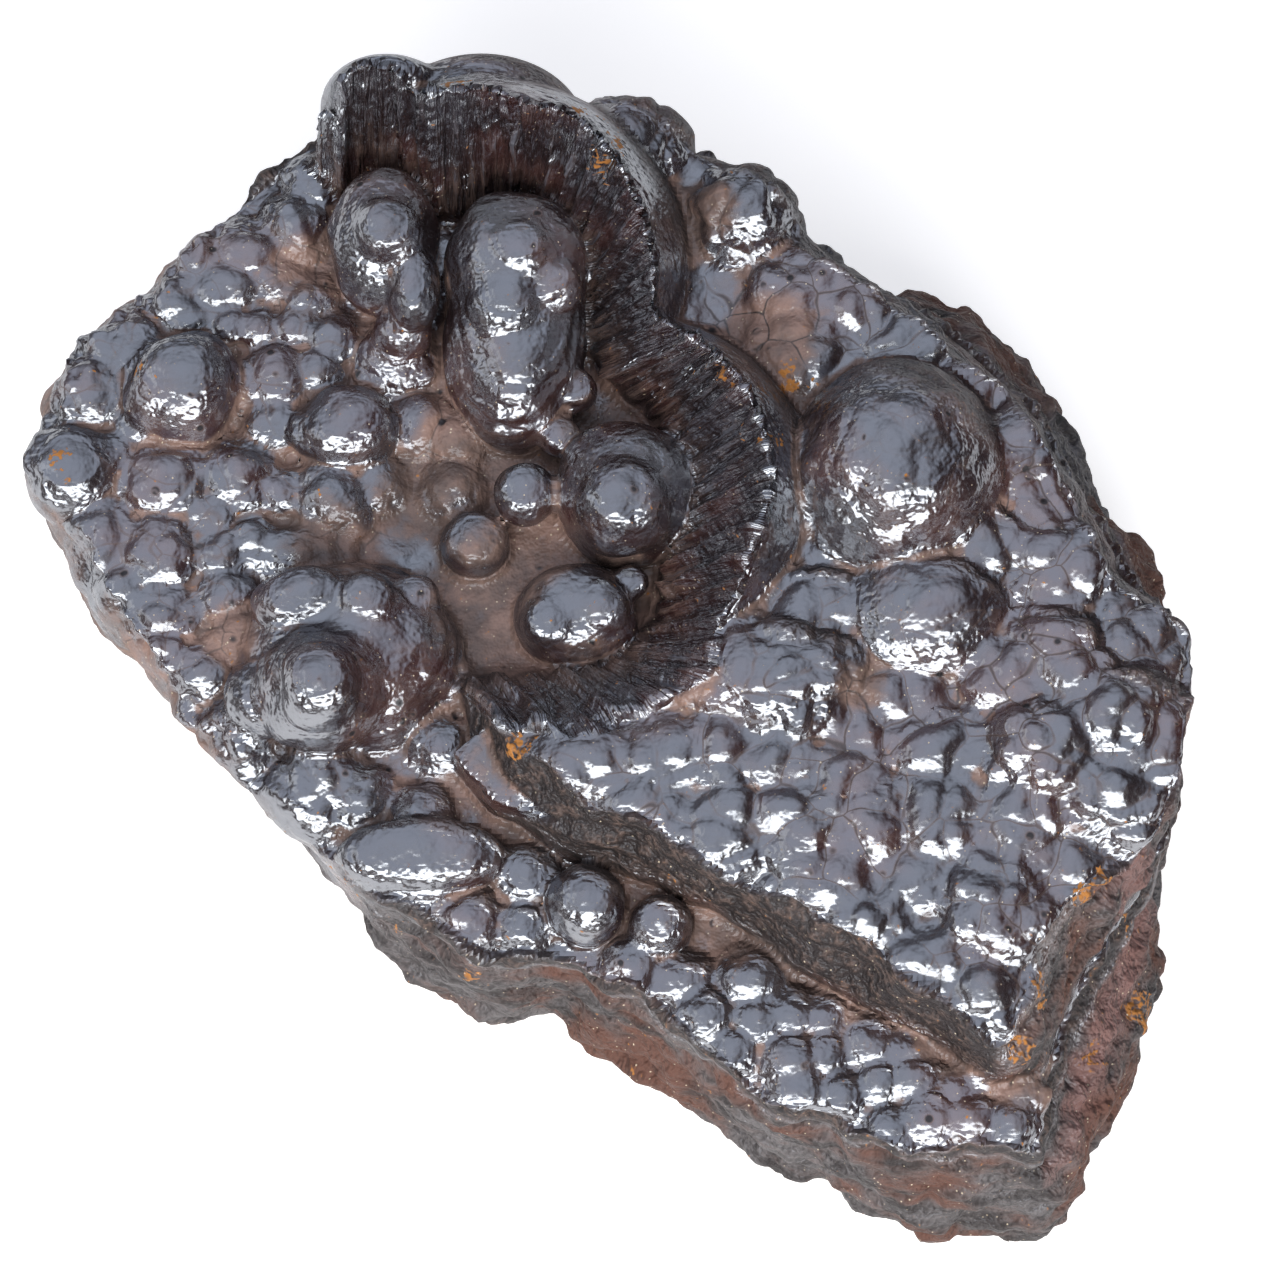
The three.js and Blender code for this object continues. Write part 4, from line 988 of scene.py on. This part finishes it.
def makeHematite():
    look, texture = hematiteFinish, hematiteTexture
    material = bpy.data.materials.new("hematite")
    start = shaderOf(material)
    place = start.node("ShaderNodeAttribute", {"attribute_name": "rest"}, output=1)

    def noise(scale, detail, roughness, vector=place):
        inputs = {"Vector": vector, "Scale": scale, "Detail": detail, "Roughness": roughness}
        return start.node("ShaderNodeTexNoise", None, inputs)

    def dots(scale):  # 1 at the middle of scattered cells
        return 1.0 - start.node("ShaderNodeTexVoronoi", None, {"Vector": place, "Scale": scale})

    matrix, wall, breakageAndBackShade, dustAndEdgeShade = (start.mask(name) for name in ("matrix", "wall", "breakageAndBackShade", "dustAndEdgeShade"))
    broad, fine, grit = (noise(*texture[name]) for name in ("broad", "fine", "grit"))
    height = start.node("ShaderNodeSeparateXYZ", None, {0: place}, 2)
    alongWall = {"X": start.mask("station") * 0.5, "Y": height * 18.0}
    alongWall = start.node("ShaderNodeCombineXYZ", None, alongWall)
    streaks = noise(*texture["streaks"], alongWall)
    # streaks down the broken wall: matte dust near the foot and painted glints higher up, in place of the
    # reflections of the column facets
    dustAndGlintStreaks = wall * streaks.fade(0.55, 0.68)

    # everything that covers the bare crust, with the painted glints on the wall and the painted shade in the
    # pits
    onBorder = 1.0 - crustCells(start, place).fade(0.004, 0.034)
    crack = start.mask("celled") * onBorder * (fine * 0.5 + broad).fade(0.58, 0.84)
    film = (broad * 0.5 + fine * 0.5).fade(0.46, 0.66) * 0.13
    dusty = ((dustAndEdgeShade + (fine - 0.5) * 0.6 + (broad - 0.5) * 0.3).fade(0.3, 0.9) * 0.9).orMore(film)
    footDust = streaks.fade(0.4, 0.62) * (1.0 - height.fade(0.0215, 0.0275))
    dusty = (dusty * (1.0 - wall * 0.4)).orMore(wall * footDust * 0.6).orMore(dustAndGlintStreaks * 0.5)
    limonite = (start.mask("rust") * 0.9 + (fine - 0.5) * 1.8 + (grit - 0.5) * 2.6).fade(0.7, 1.1)
    specks = dots(texture["specks"]).fade(0.86, 0.95) * broad.fade(0.36, 0.56)
    # painted shade: near-black dots stand for the shade inside small pits, which the relief doesn't carve
    shadedPits = dots(texture["shadedPits"]).fade(0.76, 0.90) * (fine + broad).fade(1.02, 1.14)
    shadedPits = shadedPits * (1.0 - wall) * (1.0 - matrix)
    earthy = dusty.orMore(crack * 0.75).orMore(matrix * (0.70 + broad * 0.5))
    earthy = earthy.orMore(breakageAndBackShade * (0.82 + fine * 0.2)).orMore(limonite)
    earthy = earthy.orMore(specks * 0.8).orMore(shadedPits * 0.9)

    # the fine relief of crust and rock
    slope = start.mask("steep") * 1.5 - start.mask("cliff") * 1.1
    dents = fine * (1.0 + slope + matrix * 6.5 + breakageAndBackShade * 4.0)
    surface = dents + grit * (0.1 + matrix * 2.0 + breakageAndBackShade * 2.0 + dustAndEdgeShade * 0.4) + wall * streaks * 6.0
    bumped = start.node("ShaderNodeBump", None, {**look["bump"], "Height": surface})

    body = broad.fade(0.42, 0.7).mixed(look["crustBody"], look["crustWarm"])
    rough = look["crustRoughness"] + wall * (look["wallRoughness"] - look["crustRoughness"])
    rough = rough + breakageAndBackShade * (look["breakRoughness"] - look["crustRoughness"]) + (fine - 0.5) * 0.12
    crust = start.node("ShaderNodeBsdfPrincipled", None, {
        "Base Color": body,
        "Roughness": rough,
        "IOR": look["crustIndex"],
        "Specular Tint": look["crustTint"],
        "Normal": bumped,
    })
    soilAndGlint = (broad * 0.6 + fine * 0.4).fade(0.38, 0.66).mixed(look["dustAndEdgeShade"], look["dustPale"])
    broken = (fine * 0.6 + grit * 0.4).fade(0.46, 0.68).mixed(look["breakAndBackShadeSoil"], look["dustAndEdgeShade"])
    soilAndGlint = breakageAndBackShade.mixed(crack.mixed(soilAndGlint, look["crackSoil"]), broken)
    # painted glints: the upper wall streaks get a light grey in place of reflected light
    soilAndGlint = (dustAndGlintStreaks * height.fade(0.0205, 0.0245)).mixed(soilAndGlint, look["paintedGlintGrey"])
    layers = noise(*texture["layers"], start.vector("MULTIPLY", place, look["layering"]))
    stone = (layers * 0.7 + grit * 0.3).fade(0.38, 0.62).mixed(look["earth"], look["earthGrey"])
    stone = (broad * 0.7 + layers * 0.3).fade(0.46, 0.60).mixed(stone, look["earthRed"])
    stone = (start.mask("end") * (0.5 + grit * 0.8)).fade(0.2, 1.0).mixed(stone, look["earthOlive"])
    stone = (start.mask("mauve") * (0.4 + layers)).fade(0.2, 1.0).mixed(stone, look["earthMauve"])
    earth = matrix.mixed(soilAndGlint, stone)
    earth = limonite.mixed(earth, look["limonite"])
    # pale specks of lint over the painted shade of the pits
    earth = specks.mixed(shadedPits.mixed(earth, look["paintedPitShade"]), look["speck"])
    rock = start.node("ShaderNodeBsdfPrincipled", None, {
        "Base Color": earth,
        "Roughness": 0.75 + (fine - 0.5) * 0.3,
        "Specular IOR Level": 0.35,
        "Normal": bumped,
    })
    both = start.node("ShaderNodeMixShader", None, {0: earthy, 1: crust, 2: rock})
    start.node("ShaderNodeOutputMaterial", None, {"Surface": both})
    return material


studio = {
    "floorColour": rgb(0.93, 0.91, 0.885),
    "floorFar": rgb(0.35, 0.34, 0.34),
    "floorGlow": 0.48,
    "frontStrip": {"from": (-20, -250, 230), "size": (0.48, 0.20), "radiance": 6.5},
    "leftPanel": {"from": (-320, 20, 200), "size": (0.20, 0.20), "radiance": 1.0},
    "skyDark": rgb(0.02, 0.02, 0.023),
    "skyPale": rgb(0.88, 0.95, 1.12),
    "skyPaleTowards": (-0.18, 0.30, 0.94),
    "skyFade": (0.36, 1.04),
    "skyStrength": 1.0,
    "aim": (0.0, 0.0, 22.0),
    "floorReach": 2.5,
    "floorFade": (0.10, 0.45),
}


def makeStudio():
    for name in ("frontStrip", "leftPanel"):
        setup = studio[name]
        data = bpy.data.lights.new(name, "AREA")
        data.shape = "RECTANGLE"
        data.size, data.size_y = setup["size"]
        data.energy = setup["radiance"] * math.pi * data.size * data.size_y
        light = newObject(name, data)
        light.location = toFrame(*setup["from"])
        aim = toFrame(*studio["aim"]) - light.location
        light.rotation_euler = aim.to_track_quat("-Z", "Y").to_euler()
    world = bpy.data.worlds.new("studio")
    start = shaderOf(world)
    direction = start.node("ShaderNodeTexCoord")
    toPale = start.vector("DOT_PRODUCT", direction, studio["skyPaleTowards"], output=1)
    sky = toPale.fade(*studio["skyFade"]).mixed(studio["skyDark"], studio["skyPale"])
    lit = start.node("ShaderNodeBackground", None, {"Color": sky, "Strength": studio["skyStrength"]})
    start.node("ShaderNodeOutputWorld", None, {"Surface": lit})
    bpy.context.scene.world = world
    bpy.context.scene.view_settings.view_transform = "Standard"


def makeFloor():
    mesh = bpy.data.meshes.new("studio_floor")
    reach = studio["floorReach"]
    corners = [(x * reach, y * reach, 0) for x, y in ((-1, -1), (1, -1), (1, 1), (-1, 1))]
    mesh.from_pydata(corners, [], [(0, 1, 2, 3)])
    material = bpy.data.materials.new("pale_floor")
    start = shaderOf(material)
    place = start.node("ShaderNodeNewGeometry")
    away = start.vector("LENGTH", place, output=1)
    colour = away.fade(*studio["floorFade"]).mixed(studio["floorColour"], studio["floorFar"])
    bsdf = start.node("ShaderNodeBsdfPrincipled", None, {
        "Base Color": colour,
        "Roughness": 0.9,
        "Emission Color": colour,
        "Emission Strength": studio["floorGlow"],
    })
    start.node("ShaderNodeOutputMaterial", None, {"Surface": bsdf})
    mesh.materials.append(material)
    return newObject("studio_floor", mesh)


makeCamera()
makeStudio()
floor = makeFloor()
report("camera, lights and floor")

hematite = makeHematite()
for skin in makeSpecimen():
    skin.data.materials.append(hematite)
    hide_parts("hematite_specimen")
    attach(skin, "root")
report("specimen finished")
